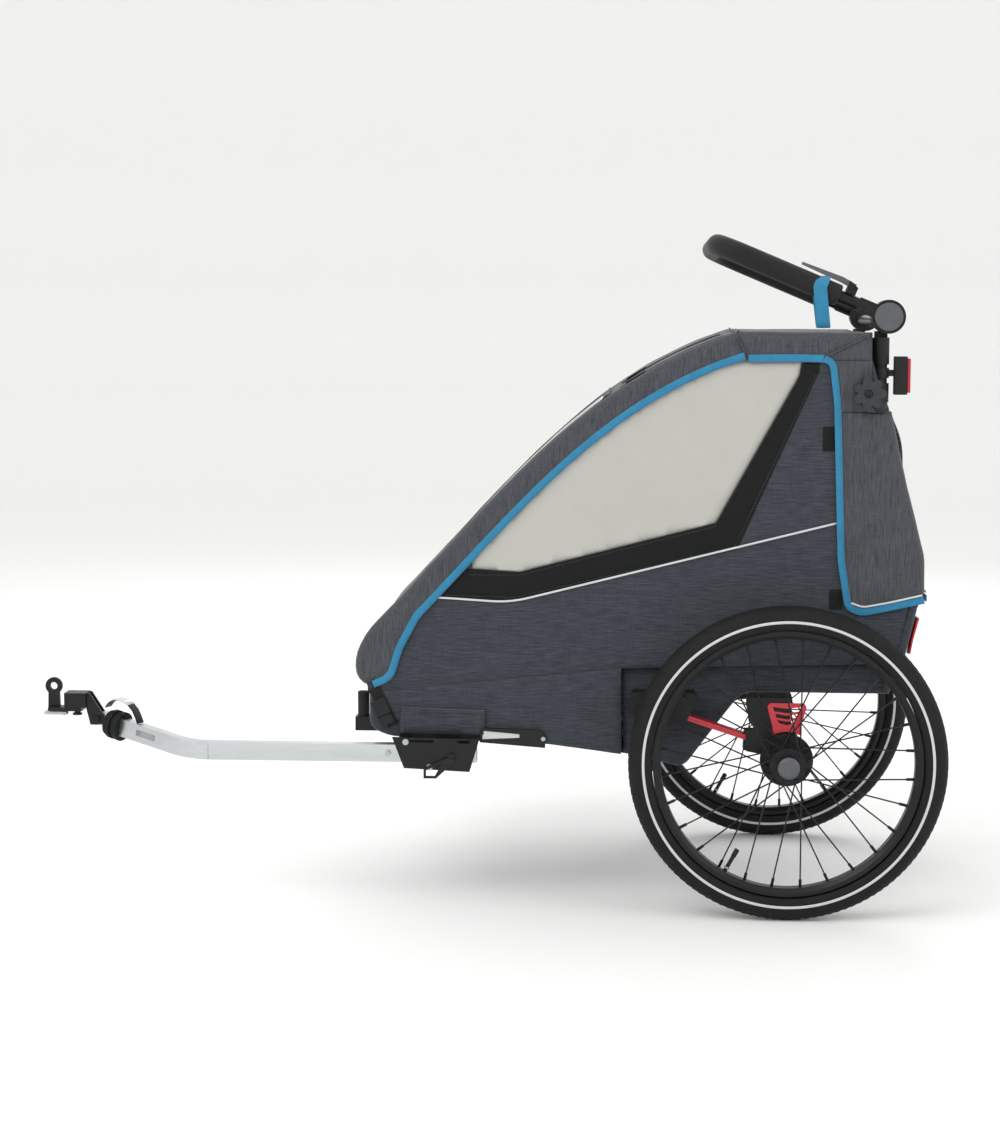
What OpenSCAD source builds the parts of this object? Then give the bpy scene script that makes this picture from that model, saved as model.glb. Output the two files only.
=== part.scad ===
// Child bicycle trailer: two spoked wheels on leaf springs, a folding tube frame under a fabric body, a push bar
// on hinge discs, and a bent drawbar with an axle hitch on the left side. The front is -X and the left is -Y.
// Heights inside the modules are measured from the wheel axle, and along X from the axle too.

/* [Wheels] */
// Bead seat diameter of the rim
bead_d = 406; // [340:1:500]
// Width and height of the tyre's section
tyre_w = 47; // [32:1:60]
// Depth of the rim, from the bead seat inwards
rim_depth = 13; // [8:1:16]
// Width of the rim
rim_w = 27; // [22:1:34]
// Distance between the wheels' centre planes
track = 600; // [560:1:720]
// Spokes in one wheel
spoke_count = 28; // [20:4:36]
// Spoke diameter
spoke_d = 2.4; // [1.8:0.1:3]
// Radius of the spoke circle on the hub flanges
flange_r = 24; // [20:1:32]
// Distance between the two flanges
flange_gap = 44; // [36:1:50]
// Radius of the slotted brake ring
brake_ring_r = 42; // [36:1:50]
// Diameter of the pull-out axle
axle_d = 12; // [8:0.5:15]

/* [Suspension] */
// Distance from the wheel's centre plane in to the middle of the leaf spring
leaf_inset = 55; // [50:1:60]
// Width of the leaves
leaf_w = 26; // [18:1:30]
// Thickness of one leaf
leaf_t = 4; // [2:0.5:6]
// How far ahead of the axle the leaf is held
leaf_reach = 172; // [150:1:200]
// Height of the front end of the leaf above the axle
leaf_rise = 66; // [50:1:80]

/* [Base frame] */
// Diameter of the frame tubes
tube_d = 24; // [16:1:28]
// Wall of the frame tubes
tube_wall = 2; // [1.5:0.5:3]
// Distance between the side tubes' centre lines
base_w = 306; // [290:1:310]
// Height of the front of the base tubes above the axle
base_front_z = 45; // [30:1:60]
// Height of the rear of the base tubes above the axle
base_rear_z = 115; // [100:1:130]
// Front pivot, ahead of the axle
front_pivot_x = 645; // [560:1:760]
// Rear pivot, behind the axle
rear_pivot_x = 142; // [120:1:170]
// Diameter of the fold pins
fold_pin_d = 10; // [8:0.5:12]
// Radial clearance of a turning fit
running_gap = 0.05; // [0.02:0.01:0.1]

/* [Hoops] */
// Height of the roof above the axle
roof_z = 673; // [600:1:780]
// Distance from the axle forward to the brow, where the roof turns down
brow_x = 84; // [60:1:140]
// Gap between the roof hoop's tubes and the rear hoop's posts
hoop_gap = 3.5; // [2:0.5:6]
// Diameter of the roof hoop's tubes
roof_tube_d = 20; // [14:1:22]
// Height of the push bar's hinge above the roof
disc_rise = 23; // [20:1:60]
// Distance from the rear pivot back to the push bar's hinge
disc_back = 11; // [5:1:15]
// Radius of the hinge discs
disc_r = 26.5; // [24:0.5:30]

/* [Body fabric] */
// Width over the side fabric
body_w = 470; // [460:2:500]
// Thickness of a fabric layer with its lining
skin = 3; // [2:0.5:4]
// Space between fabric pieces that slide over each other
skin_gap = 0.5; // [0.3:0.1:1]
// Depth of the cover's side strips
strip_w = 45; // [30:1:60]
// Width of the seat cushion
seat_w = 320; // [240:1:330]
// Thickness of the seat cushion
seat_t = 42; // [25:1:55]

/* [Push bar] */
// Reach of the push bar from its hinge to the middle of the grip
bar_reach = 290; // [240:1:320]
// Angle of the push bar above the horizontal at its forward stop
bar_angle = 23; // [20:1:40]
// Diameter of the push bar's tube
bar_d = 19; // [14:1:20]
// Diameter of the foam grip
grip_d = 34; // [28:1:38]

/* [Drawbar and hitch] */
// Height of the drawbar's section
drawbar_h = 28; // [22:1:32]
// Width of the drawbar's section
drawbar_w = 22; // [18:1:26]
// Wall of the drawbar
drawbar_wall = 2; // [1.5:0.5:3]
// Distance from the axle forward to the drawbar's bend
bend_x = 955; // [850:1:1000]
// Distance from the axle forward to the hitch's pivot bolt
hitch_x = 1126; // [1100:1:1200]
// How far the hitch bolt lies inboard of the straight drawbar
hitch_inset = 80; // [60:1:100]
// Height of the hitch bolt above the axle
hitch_z = 36; // [20:1:60]
// Radius of the eye that goes on the bicycle's axle
eye_r = 6; // [5:0.5:8]
// Thickness of the eye plate
eye_t = 6; // [4:0.5:8]

/* [Hidden] */
$fn = 48;

tyre_r = bead_d / 2 + tyre_w;
rim_out_r = bead_d / 2 + 8;
rim_in_r = rim_out_r - rim_depth;
wheel_y = track / 2;
leaf_y = wheel_y - leaf_inset;
tube_r = tube_d / 2;
side_y = base_w / 2;
roof_tube_r = roof_tube_d / 2;
roof_hoop_y = side_y + tube_r + 3 + roof_tube_r;
post_r = tube_r - 1;
post_y = roof_hoop_y + roof_tube_r + hoop_gap + post_r;
body_y = body_w / 2;
tub_y = post_y + post_r + 8;
front_pivot = [-front_pivot_x, base_front_z + 5];
rear_pivot = [rear_pivot_x, base_rear_z];
disc_x = rear_pivot_x + disc_back;
disc_z = roof_z + disc_rise;
bar_pivot = [disc_x, disc_z];
drawbar_y = -body_y - drawbar_w / 2 - 4;
drawbar_z = 1;
hitch_y = drawbar_y + hitch_inset;
eye_x = hitch_x + 72;
eye_z = hitch_z + 54;
eye_rim = eye_r + 8;
nose_x = hitch_x + 88;
shift_x = (nose_x - tyre_r) / 2;

// Tools: vectors, curves and swept tubes
function unit(v) = v / norm(v);
function along_y(p, y) = [p[0], y, p[1]];
function bezier(p, t) = pow(1 - t, 3) * p[0] + 3 * t * pow(1 - t, 2) * p[1] + 3 * t * t * (1 - t) * p[2]
    + pow(t, 3) * p[3];
function curve(p, n) = [for (i = [0:n]) bezier(p, i / n)];
function tangent(p, i) = i == 0 ? unit(p[1] - p[0]) : i == len(p) - 1 ? unit(p[i] - p[i - 1])
    : unit(unit(p[i + 1] - p[i]) + unit(p[i] - p[i - 1]));
function circle_points(r, n) = [for (i = [0:n - 1]) r * [cos(360 * i / n), sin(360 * i / n)]];
function box_points(w, h) = [[w, h] / 2, [-w, h] / 2, [-w, -h] / 2, [w, -h] / 2];
// Sideways direction of a section carried along a path, kept level with the reference direction
function side_dir(t, ref) = unit(ref - (ref * t) * t);
function ring_points(c, t, section, ref) = let (side = side_dir(t, ref))
    [for (s = section) c + s[0] * side + s[1] * cross(side, t)];
// An offset of a plane curve to its right-hand side
function inset(p, d) = [for (i = [0:len(p) - 1]) p[i] + d * [tangent(p, i)[1], -tangent(p, i)[0]]];
function reversed(p) = [for (i = [len(p) - 1:-1:0]) p[i]];

// A tube swept along a path in space, hollow from end to end
module swept_tube(path, outer, inner, ref = [0, 1, 0]) {
    n = len(outer);
    rings = len(path);
    points = [for (i = [0:rings - 1]) each concat(ring_points(path[i], tangent(path, i), outer, ref),
        ring_points(path[i], tangent(path, i), inner, ref))];
    function id(i, j, k) = i * 2 * n + k * n + j % n;
    polyhedron(points, concat(
        [for (i = [0:rings - 2], j = [0:n - 1])
            [id(i, j, 0), id(i, j + 1, 0), id(i + 1, j + 1, 0), id(i + 1, j, 0)]],
        [for (i = [0:rings - 2], j = [0:n - 1])
            [id(i, j, 1), id(i + 1, j, 1), id(i + 1, j + 1, 1), id(i, j + 1, 1)]],
        [for (j = [0:n - 1]) [id(0, j, 0), id(0, j, 1), id(0, j + 1, 1), id(0, j + 1, 0)]],
        [for (j = [0:n - 1]) let (e = rings - 1) [id(e, j, 0), id(e, j + 1, 0), id(e, j + 1, 1), id(e, j, 1)]]));
}
// A solid bar swept along a path in space
module swept_bar(path, section, ref = [0, 1, 0]) {
    n = len(section);
    rings = len(path);
    points = [for (i = [0:rings - 1]) each ring_points(path[i], tangent(path, i), section, ref)];
    polyhedron(points, concat(
        [for (i = [0:rings - 2], j = [0:n - 1])
            [i * n + j, i * n + (j + 1) % n, (i + 1) * n + (j + 1) % n, (i + 1) * n + j]],
        [[for (j = [n - 1:-1:0]) j]],
        [[for (j = [0:n - 1]) (rings - 1) * n + j]]));
}
// A plane outline in X and Z, given thickness from y0 to y1
module plate_xz(outline, y0, y1) {
    translate([0, y1, 0]) rotate([90, 0, 0]) linear_extrude(y1 - y0) polygon(outline);
}
// A shaft along Y
module shaft(p, r, y0, y1) {
    translate([p[0], y0, p[1]]) rotate([-90, 0, 0]) cylinder(r = r, h = y1 - y0);
}
// The same thing on the left and on the right
module both_sides() {
    children();
    mirror([0, 1, 0]) children();
}
// Puts the axle frame on the floor, with the whole trailer centred along X
module place() {
    translate([shift_x, 0, tyre_r]) children();
}

// Outlines of the body, seen from the left side, in X and Z
tub_front_x = -front_pivot_x - 22;
nose_top = [-front_pivot_x - 8, 213];
brow = [-brow_x, roof_z];
nose_curve = curve([[tub_front_x, 105], [-front_pivot_x - 60, 115], nose_top - [42, 42], nose_top], 6);
hood_curve = curve([nose_top, nose_top + [170, 170], brow - [252, 79], brow], 10);
cover_curve = concat(nose_curve, [for (i = [1:10]) hood_curve[i]]);
step_x = -262;
ledge_z = base_rear_z + 35;
floor_end = rear_pivot_x + 18;
rear_floor_z = base_rear_z - 17;
front_floor = [[tub_front_x, 95], [tub_front_x, 37], [tub_front_x + 30, 23], [-488, 16], [-383, 13],
    [step_x, -2]];
rear_floor = [[step_x, -2], [-244, -5], [-162, -25], [-70, rear_floor_z], [floor_end, rear_floor_z]];
rear_edge = [[rear_pivot_x - 20, roof_z - 4], [rear_pivot_x + 18, 545], [184, 439], [216, 317], [216, 251],
    [199, 243], [182, 167], [168, 116], [floor_end + 4, base_rear_z - 10]];
knob_at = [rear_pivot_x - 20, 577];

// The two long tubes of the base: level at the front, then raised over the axle
base_path = concat([[-front_pivot_x - 14, base_front_z + 5], [-front_pivot_x + 40, base_front_z + 5]],
    curve([[-300, base_front_z - 5], [-200, base_front_z - 5], [-170, base_rear_z], [-70, base_rear_z]], 8),
    [[rear_pivot_x + 14, base_rear_z]]);
module base_side_tubes() color("silver") both_sides()
    swept_tube([for (p = base_path) along_y(p, side_y)],
        circle_points(tube_r, 16), circle_points(tube_r - tube_wall, 16));

// Five cross tubes tie the side tubes and carry the brackets outside them
cross_r = tube_r - 3;
cross_end = post_y + post_r;
bracket_cross = [[-600, base_front_z + 3], [-505, base_front_z + 1]];
inner_cross = [[-315, base_front_z - 5], [-60, base_rear_z], [rear_pivot_x - 36, base_rear_z]];
module cross_tube(p, reach) difference() {
    shaft(p, cross_r, -reach, reach);
    shaft(p, cross_r - tube_wall, -reach - 1, reach + 1);
}
module base_cross_tubes() color("silver") {
    for (p = bracket_cross) cross_tube(p, cross_end);
    for (p = inner_cross) cross_tube(p, side_y + tube_r + 1);
}

// Receptacle for a front wheel, on an arm under the nose
socket_r = 7;
socket_x = tub_front_x - 38;
module wheel_socket() {
    color("gray") translate([socket_x, 0, 16]) difference() {
        cylinder(r = socket_r + 3, h = 42);
        translate([0, 0, -1]) cylinder(r = socket_r, h = 44);
    }
    color("black") difference() {
        union() {
            translate([socket_x - 13, -15, -8]) cube([26, 30, 24]);
            translate([socket_x + 13, -15, -8]) cube([-588 - socket_x - 13, 30, 14]);
            translate([-612, -15, 6]) cube([24, 30, base_front_z + 3 - cross_r - 5]);
        }
        translate([socket_x, 0, -9]) cylinder(r = socket_r, h = 26);
    }
}

// Fold pins, bracket screws and the screws of the side pods
fold_pin_r = fold_pin_d / 2;
front_pin_end = roof_hoop_y + roof_tube_r + 3;
rear_pin_end = post_y + post_r + 2;
drawbar_out = drawbar_y - drawbar_w / 2;
module chassis_fasteners() color("dimgray") {
    both_sides() {
        shaft(front_pivot, fold_pin_r, side_y + tube_r - 1, front_pin_end);
        shaft(front_pivot, fold_pin_r + 3, front_pin_end, front_pin_end + 3);
        shaft(rear_pivot, fold_pin_r, side_y + tube_r - 1, rear_pin_end);
        shaft(rear_pivot, fold_pin_r + 3, rear_pin_end, rear_pin_end + 3);
        shaft([-386, 24], 3.5, body_y + 8.5, body_y + 10.5);
    }
    for (p = [[-605, 21], [-567, -19.5]]) shaft(p, 5, drawbar_out - 8, drawbar_out - 5.2);
    for (p = bracket_cross) shaft(p, cross_r - tube_wall - 1, -body_y - 6, -body_y - 3.5);
}

// Sleeve for the drawbar: an outer and an inner plate, and the walls between them
bracket_top = drawbar_z + drawbar_h / 2 + 1;
bracket_low = drawbar_z - drawbar_h / 2 - 1;
pin_at = [-532, drawbar_z - 4];
pin_r = 4;
module drawbar_bracket() color("black") difference() {
    union() {
        plate_xz([[-627, 28], [-487, 26], [-503, -27], [-608, -22]], drawbar_out - 5, drawbar_out - 1);
        plate_xz([[-604, 64], [-487, 60], [-503, -18], [-608, -18], [-620, 20]],
            -body_y - 3.2, -body_y - 0.6);
        translate([-612, drawbar_out - 1, bracket_top]) cube([110, drawbar_w + 2, 3]);
        translate([-606, drawbar_out - 1, bracket_low - 3]) cube([102, drawbar_w + 2, 3]);
        for (p = bracket_cross) shaft(p, cross_r - tube_wall - 1, -body_y - 1, -cross_end + 8);
    }
    shaft(pin_at, pin_r + running_gap, drawbar_out - 6, -body_y + 1);
    plate_xz([[-600, 24], [-560, 24], [-560, 20], [-600, 20]], drawbar_out - 6, drawbar_out);
    plate_xz([[-524, 24], [-500, 24], [-504, 19], [-520, 19]], drawbar_out - 6, drawbar_out);
}

// Clevises outside the base tubes that hold the front ends of the leaf springs
leaf_eye = [-leaf_reach, leaf_rise];
leaf_in = leaf_y - leaf_w / 2;
leaf_out = leaf_y + leaf_w / 2;
leaf_pin_r = 4;
module spring_mounts() color("black") both_sides() {
    for (y = [leaf_in - 4, leaf_out + 1])
        plate_xz([[-250, 70], [-244, 104], [-146, 104], [-140, 92], [-leaf_reach + 14, leaf_rise - 8],
            [-leaf_reach + 8, leaf_rise - 14], [-leaf_reach - 8, leaf_rise - 14]], y, y + 3);
    plate_xz([[-247, 98], [-244, 104], [-146, 104], [-143, 98]], leaf_in - 1, leaf_out + 1);
    shaft(leaf_eye, leaf_pin_r, leaf_in - 1, leaf_out + 1);
    plate_xz([[-240, 78], [-240, 96], [-205, 96], [-205, 78]], side_y + tube_r - 4, leaf_in - 4);
    plate_xz([[-240, 52], [-240, 78], [-222, 78], [-222, 52]], side_y + tube_r - 4, side_y + tube_r + 5);
}

// Long reflector pods low on the body's sides
module reflector_pods() color("gray") both_sides() difference() {
    plate_xz([[-488, 40], [-392, 38], [-383, 30], [-383, 9], [-488, 17]], body_y + 0.4, body_y + 8.5);
    plate_xz([[-484, 36], [-424, 31], [-424, 25], [-484, 22]], body_y + 7, body_y + 10);
}

// Webbing and side-release buckles that hold the cover's lower corners
module cover_buckles() color("black") both_sides() {
    plate_xz([[-664, 102], [-645, 102], [-617, 40], [-636, 40]], body_y + 0.5, body_y + 2);
    plate_xz([[-662, 86], [-636, 86], [-620, 50], [-646, 50]], body_y + 2, body_y + 8);
}

// Red reflectors low on the rear corners
module rear_reflectors() color("red") both_sides()
    plate_xz([[201, 222], [209, 219], [196, 160], [188, 163]], 165, 212);

// Cushions
seat_front = -375;
seat_z = base_rear_z + tube_r + 1;
module seat_cushion() color("dimgray")
    plate_xz([[seat_front, seat_z - 8], [seat_front, seat_z + seat_t - 4], [-95, seat_z + seat_t - 12],
        [-95, seat_z]], -seat_w / 2, seat_w / 2);
back_low = [-90, seat_z + seat_t - 2];
back_top = [52, 560];
back_t = 26;
module backrest() color("dimgray")
    plate_xz([back_low, back_top, back_top + [back_t, -8], back_low + [back_t, -8]], -seat_w / 2, seat_w / 2);

// Five point harness: two shoulder straps with pads, two hip straps and a crotch strap
buckle_at = [-190, seat_z + seat_t + 4];
module harness_straps() color("black") {
    lean = unit(back_top - back_low);
    out = [-lean[1], lean[0]];
    for (y = [-62, 62]) plate_xz([back_low + 30 * lean + out, back_low + 300 * lean + out,
        back_low + 300 * lean + 3 * out, back_low + 30 * lean + 3 * out], y - 12, y + 12);
    for (y = [-62, 62]) plate_xz([back_low + 120 * lean + 3.2 * out, back_low + 260 * lean + 3.2 * out,
        back_low + 260 * lean + 13 * out, back_low + 120 * lean + 13 * out], y - 20, y + 20);
    for (y = [-120, 40]) translate([-150, y, seat_z + seat_t - 3]) cube([24, 80, 2]);
    translate([-250, -12, seat_z + seat_t - 3]) cube([60, 24, 2]);
}
button_r = 9;
module harness_buckle() color("black") difference() {
    translate([-205, -24, seat_z + seat_t - 1]) cube([48, 48, 15]);
    translate([-181, 0, seat_z + seat_t + 5]) cylinder(r = button_r + running_gap, h = 20);
}
module harness_button() color("red")
    translate([-181, 0, seat_z + seat_t + 10]) cylinder(r = button_r, h = 6);

// Fabric tub: floor, footwell, front wall and low side walls, with holes where brackets pass
module band(path, y) plate_xz(concat(path, reversed(inset(path, -skin))), -y, y);
module lower_body() color("#40454d") difference() {
    union() {
        band(front_floor, body_y);
        band(concat(front_floor, [for (i = [1:len(rear_floor) - 1]) rear_floor[i]]), tub_y);
        both_sides() {
            plate_xz(concat(front_floor, [[step_x, ledge_z - 12]]), body_y - skin, body_y);
            plate_xz(concat(rear_floor, [[floor_end, ledge_z - 1], [step_x, ledge_z - 12]]),
                tub_y - skin, tub_y);
            plate_xz([[step_x - skin, -2], [step_x, -2], [step_x, ledge_z - 12],
                [step_x - skin, ledge_z - 12]], tub_y - skin, body_y);
        }
    }
    both_sides() {
        plate_xz([[-243, 46], [-243, 99], [-202, 99], [-202, 75], [-219, 46]], side_y, leaf_in);
        for (p = bracket_cross) shaft(p, cross_r + 1, side_y, body_y + 1);
    }
    translate([-613, -16, -10]) cube([26, 32, 60]);
}

// Side panels with their window openings
panel_outline = concat([[tub_front_x + 4, 98]], inset(cover_curve, skin + 4),
    [[rear_pivot_x - 26, roof_z - skin - 4], [rear_pivot_x + 10, 545], [176, 439], [208, 317], [208, 255],
        [191, 243], [174, 167], [floor_end, ledge_z + 1], [step_x, ledge_z - 10]]);
window_outline = concat([for (i = [2:9]) inset(hood_curve, strip_w + 8)[i]],
    [[10, 606], [-112, 372], [-424, 291], [-490, 298]]);
module side_panels() color("#33373c") both_sides() difference() {
    plate_xz(panel_outline, body_y - skin, body_y);
    plate_xz(window_outline, body_y - skin - 1, body_y + 1);
    shaft(knob_at, 10, body_y - skin - 1, body_y + 1);
}
module side_windows() color("lightgray", 0.6) both_sides()
    plate_xz(window_outline, body_y - 2, body_y - 1);

// Rear cover: the panel behind the luggage space and the strips that lap round onto the sides
cover_y = body_y + skin_gap + skin;
fitting_in = post_y - post_r - 5;
fitting_room = body_y - skin - 0.5 - fitting_in;
module rear_cover() color("#505358") difference() {
    union() {
        plate_xz(concat(rear_edge, reversed(inset(rear_edge, skin))), -body_y, body_y);
        both_sides() plate_xz([[60, roof_z - strip_w - 2], [rear_pivot_x - 22, roof_z - strip_w - 2],
            rear_edge[1], rear_edge[2], rear_edge[3], rear_edge[4], [114, 224], [91, 235], [78, 315], [70, 560]],
            body_y + skin_gap, cover_y);
    }
    both_sides() {
        translate([rear_pivot_x - post_r - 12, fitting_in, 500]) cube([92, fitting_room, 250]);
        shaft(knob_at, 10, body_y - skin - 1, cover_y + 1);
    }
}
module mesh_pocket() color("#222222")
    plate_xz([[rear_pivot_x + 24, 530], [199, 492], [200, 470], [188, 446]], -150, 150);

// Drawbar: a rectangular tube, straight beside the body, then bent inboard and up to the hitch
bar_end = [-hitch_x, hitch_y, hitch_z];
bend_at = [-bend_x, drawbar_y, drawbar_z];
bar_dir = unit(bar_end - bend_at);
boot_l = 28;
boot_start = bar_end - (26 + boot_l) * bar_dir;
bend_curve = curve([bend_at + [30, 0, 0], bend_at + [12, 0, 0], bend_at + 12 * bar_dir, bend_at + 30 * bar_dir], 6);
bar_path = concat(bend_curve, [boot_start + 2 * bar_dir]);
snap_x = -634;
snap_r = 4.5;
bolt_r = 4;
drawbar_tail = 492;
module drawbar() color("silver") {
    difference() {
        translate([-bend_x + 30, drawbar_out, drawbar_z - drawbar_h / 2])
            cube([bend_x - 30 - drawbar_tail, drawbar_w, drawbar_h]);
        translate([-bend_x + 29, drawbar_out + drawbar_wall, drawbar_z - drawbar_h / 2 + drawbar_wall])
            cube([bend_x, drawbar_w - 2 * drawbar_wall, drawbar_h - 2 * drawbar_wall]);
        shaft(pin_at, pin_r + running_gap, drawbar_out - 1, drawbar_y + drawbar_w);
        shaft([snap_x, drawbar_z], snap_r + running_gap, drawbar_out - 1, drawbar_y);
    }
    swept_tube(bar_path, box_points(drawbar_w, drawbar_h),
        box_points(drawbar_w - 2 * drawbar_wall, drawbar_h - 2 * drawbar_wall));
    difference() {
        union() {
            shaft([-hitch_x, hitch_z], 11, hitch_y - 6, hitch_y + 6);
            translate([-hitch_x, hitch_y - 6, hitch_z - 11]) cube([20, 12, 22]);
        }
        shaft([-hitch_x, hitch_z], bolt_r + running_gap, hitch_y - 7, hitch_y + 7);
    }
}
// Rubber boot between the drawbar and the hitch
module drawbar_boot() color("black") translate(boot_start)
    rotate([0, 90 - asin(bar_dir[2]), atan2(bar_dir[1], bar_dir[0])]) for (i = [0:3])
        translate([0, 0, i * boot_l / 4]) cylinder(r = i % 2 == 0 ? 24 : 21, h = boot_l / 4);
// Webbing that arches over the boot
module safety_strap() color("black") swept_bar(
    [for (p = [[88, 15], [82, 28], [74, 38], [62, 43], [46, 43], [33, 37], [23, 25]])
        bar_end - p[0] * bar_dir + [0, 0, p[1]]], box_points(18, 2.4));
// Locking pin of the drawbar with its pull loop
module drawbar_pin() color("black") {
    shaft(pin_at, pin_r, drawbar_out - 9, -body_y - 1);
    shaft(pin_at, 6, drawbar_out - 9, drawbar_out - 5.3);
    difference() {
        plate_xz([[pin_at[0] + 5, -4], [-540, -4], [-576, -20], [-576, -37], [-556, -37], [-527, -10]],
            drawbar_out - 11, drawbar_out - 9);
        plate_xz([[-546, -12], [-572, -24], [-572, -33], [-558, -33]], drawbar_out - 12, drawbar_out - 8);
    }
}
module snap_button() color("gray") shaft([snap_x, drawbar_z], snap_r, drawbar_out - 4, drawbar_out + 5);

// Hitch fork: two cheeks on the pivot bolt and the lock body with its upright swivel pin
yaw_x = -hitch_x - 34;
swivel_r = 5;
module hitch_fork() color("#222222") {
    for (y = [hitch_y - 11, hitch_y + 6.3]) plate_xz([for (p = [[10, -8], [13, 6], [-11, 44], [-52, 44],
        [-52, 20], [-17, 20], [-13, 4], [-10, -9]]) [p[0] - hitch_x, p[1] + hitch_z]], y, y + 4.7);
    translate([-hitch_x - 52, hitch_y - 16, hitch_z + 20]) cube([36, 32, 24]);
    translate([yaw_x, hitch_y, hitch_z + 8]) cylinder(r = swivel_r, h = 13);
    translate([yaw_x, hitch_y, hitch_z + 6]) cylinder(r = swivel_r + 3, h = 3);
    shaft([-hitch_x, hitch_z], bolt_r, hitch_y - 12, hitch_y + 12);
    color("silver") shaft([-hitch_x, hitch_z], 6.5, hitch_y - 16, hitch_y - 11, $fn = 6);
    color("silver") shaft([-hitch_x, hitch_z], 6.5, hitch_y + 11, hitch_y + 16, $fn = 6);
}
// Adapter plate whose eye goes on the bicycle's axle
adapter_z = hitch_z + 13.5;
module axle_adapter() color("#222222") difference() {
    union() {
        translate([-hitch_x - 80, hitch_y - 14, adapter_z]) cube([56, 28, 6]);
        plate_xz([[-eye_x - 10, adapter_z + 5], [-eye_x + 10, adapter_z + 5], [-eye_x + 9, eye_z],
            [-eye_x - 9, eye_z]], hitch_y - eye_t / 2, hitch_y + eye_t / 2);
        shaft([-eye_x, eye_z], eye_rim, hitch_y - eye_t / 2, hitch_y + eye_t / 2);
        translate([yaw_x - 22, hitch_y, adapter_z - 8]) cylinder(r = 3, h = 9);
    }
    shaft([-eye_x, eye_z], eye_r, hitch_y - eye_t, hitch_y + eye_t);
    translate([yaw_x, hitch_y, adapter_z - 1]) cylinder(r = swivel_r + running_gap, h = 8);
}
// Small flat lever under the adapter
module hitch_lever() color("silver") difference() {
    union() {
        translate([yaw_x - 22, hitch_y, adapter_z - 7]) cylinder(r = 7, h = 5);
        translate([-nose_x, hitch_y - 7, adapter_z - 7]) cube([nose_x + yaw_x - 22, 14, 5]);
    }
    translate([yaw_x - 22, hitch_y, adapter_z - 8]) cylinder(r = 3 + running_gap, h = 8);
}

// Roof hoop: two bent tubes that turn on the front pins, and a cross tube under the brow
hoop_in = inset(hood_curve, skin + 1.5 + roof_tube_r);
hoop_rise = curve([front_pivot + [0, 10], front_pivot + [-6, 60], hoop_in[0] - [34, 34], hoop_in[0]], 4);
hoop_path = concat(hoop_rise, [for (i = [1:10]) hoop_in[i]],
    [[rear_pivot_x - 34, roof_z - skin - 1.5 - roof_tube_r]]);
module roof_hoop() color("silver") {
    both_sides() {
        swept_tube([for (p = hoop_path) along_y(p, roof_hoop_y)],
            circle_points(roof_tube_r, 12), circle_points(roof_tube_r - 2, 12));
        difference() {
            shaft(front_pivot, fold_pin_r + 8, roof_hoop_y - roof_tube_r - 1, roof_hoop_y + roof_tube_r + 1);
            shaft(front_pivot, fold_pin_r + running_gap,
                roof_hoop_y - roof_tube_r - 2, roof_hoop_y + roof_tube_r + 2);
        }
    }
    shaft([-brow_x - 20, roof_z - 27], 7, -roof_hoop_y + roof_tube_r - 1.2, roof_hoop_y - roof_tube_r + 1.2);
}
roof_rear = rear_pivot_x - 22;
brow_in = inset(cover_curve, strip_w)[len(cover_curve) - 1];
seam = 1.5;
module roof_cover() color("#505358") {
    translate([-brow_x + seam, -cover_y, roof_z - skin]) cube([brow_x - seam + roof_rear, 2 * cover_y, skin]);
    both_sides() plate_xz([[-brow_x + seam, roof_z - 1], [roof_rear, roof_z - 1], [roof_rear, brow_in[1]],
        brow_in + [seam, 0]], body_y + skin_gap, cover_y);
}
// Front cover: a curved sheet from the brow to the nose, with a strip down each side
module front_cover() color("#505358") {
    plate_xz(concat(cover_curve, reversed(inset(cover_curve, skin))), -body_y - skin_gap, body_y + skin_gap);
    both_sides() plate_xz(concat(cover_curve, reversed(inset(hood_curve, strip_w)), [[-front_pivot_x + 17, 122]]),
        body_y + skin_gap, cover_y);
}

// Rear hoop: two posts that turn on the rear pins, and a crossbar between the hinge discs
post_top = disc_z - disc_r - 8;
post_low = base_rear_z + 8;
module rear_hoop() color("#222222") {
    both_sides() {
        difference() {
            translate([rear_pivot_x, post_y, post_low]) cylinder(r = post_r, h = post_top - post_low);
            translate([rear_pivot_x, post_y, post_low + 8]) cylinder(r = post_r - 2, h = post_top);
        }
        difference() {
            shaft(rear_pivot, fold_pin_r + 8, post_y - post_r - 1, post_y + post_r + 1);
            shaft(rear_pivot, fold_pin_r + running_gap, post_y - post_r - 2, post_y + post_r + 2);
        }
    }
    shaft([disc_x - 6, disc_z - 8], 9, -post_y + 13, post_y - 13);
}
// Sleeves on the posts' tops that carry the inner halves of the hinge discs
half_in = post_y - 13;
half_out = post_y - 2;
axis_r = 4;
module hinge_discs() color("black") both_sides() difference() {
    union() {
        shaft(bar_pivot, disc_r, half_in, half_out);
        translate([rear_pivot_x - 9, half_in, post_top - 22]) cube([20, half_out - half_in, 34]);
        translate([rear_pivot_x, post_y, post_top - 40]) cylinder(r = post_r + 3, h = 42);
    }
    translate([rear_pivot_x, post_y, post_top - 41]) cylinder(r = post_r, h = 41);
    shaft(bar_pivot, axis_r + running_gap, half_in + 2, half_out + 1);
}
module knob_brackets() color("black") both_sides() difference() {
    union() {
        translate([rear_pivot_x, post_y, knob_at[1] - 15]) cylinder(r = post_r + 3, h = 30);
        translate([knob_at[0] - 9, post_y + 2, knob_at[1] - 12]) cube([20, 14, 24]);
        shaft(knob_at, 8, post_y + 10, body_y + 1);
    }
    translate([rear_pivot_x, post_y, knob_at[1] - 16]) cylinder(r = post_r, h = 32);
    shaft(knob_at, axis_r + running_gap, post_y + 6, body_y + 2);
}
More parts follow.
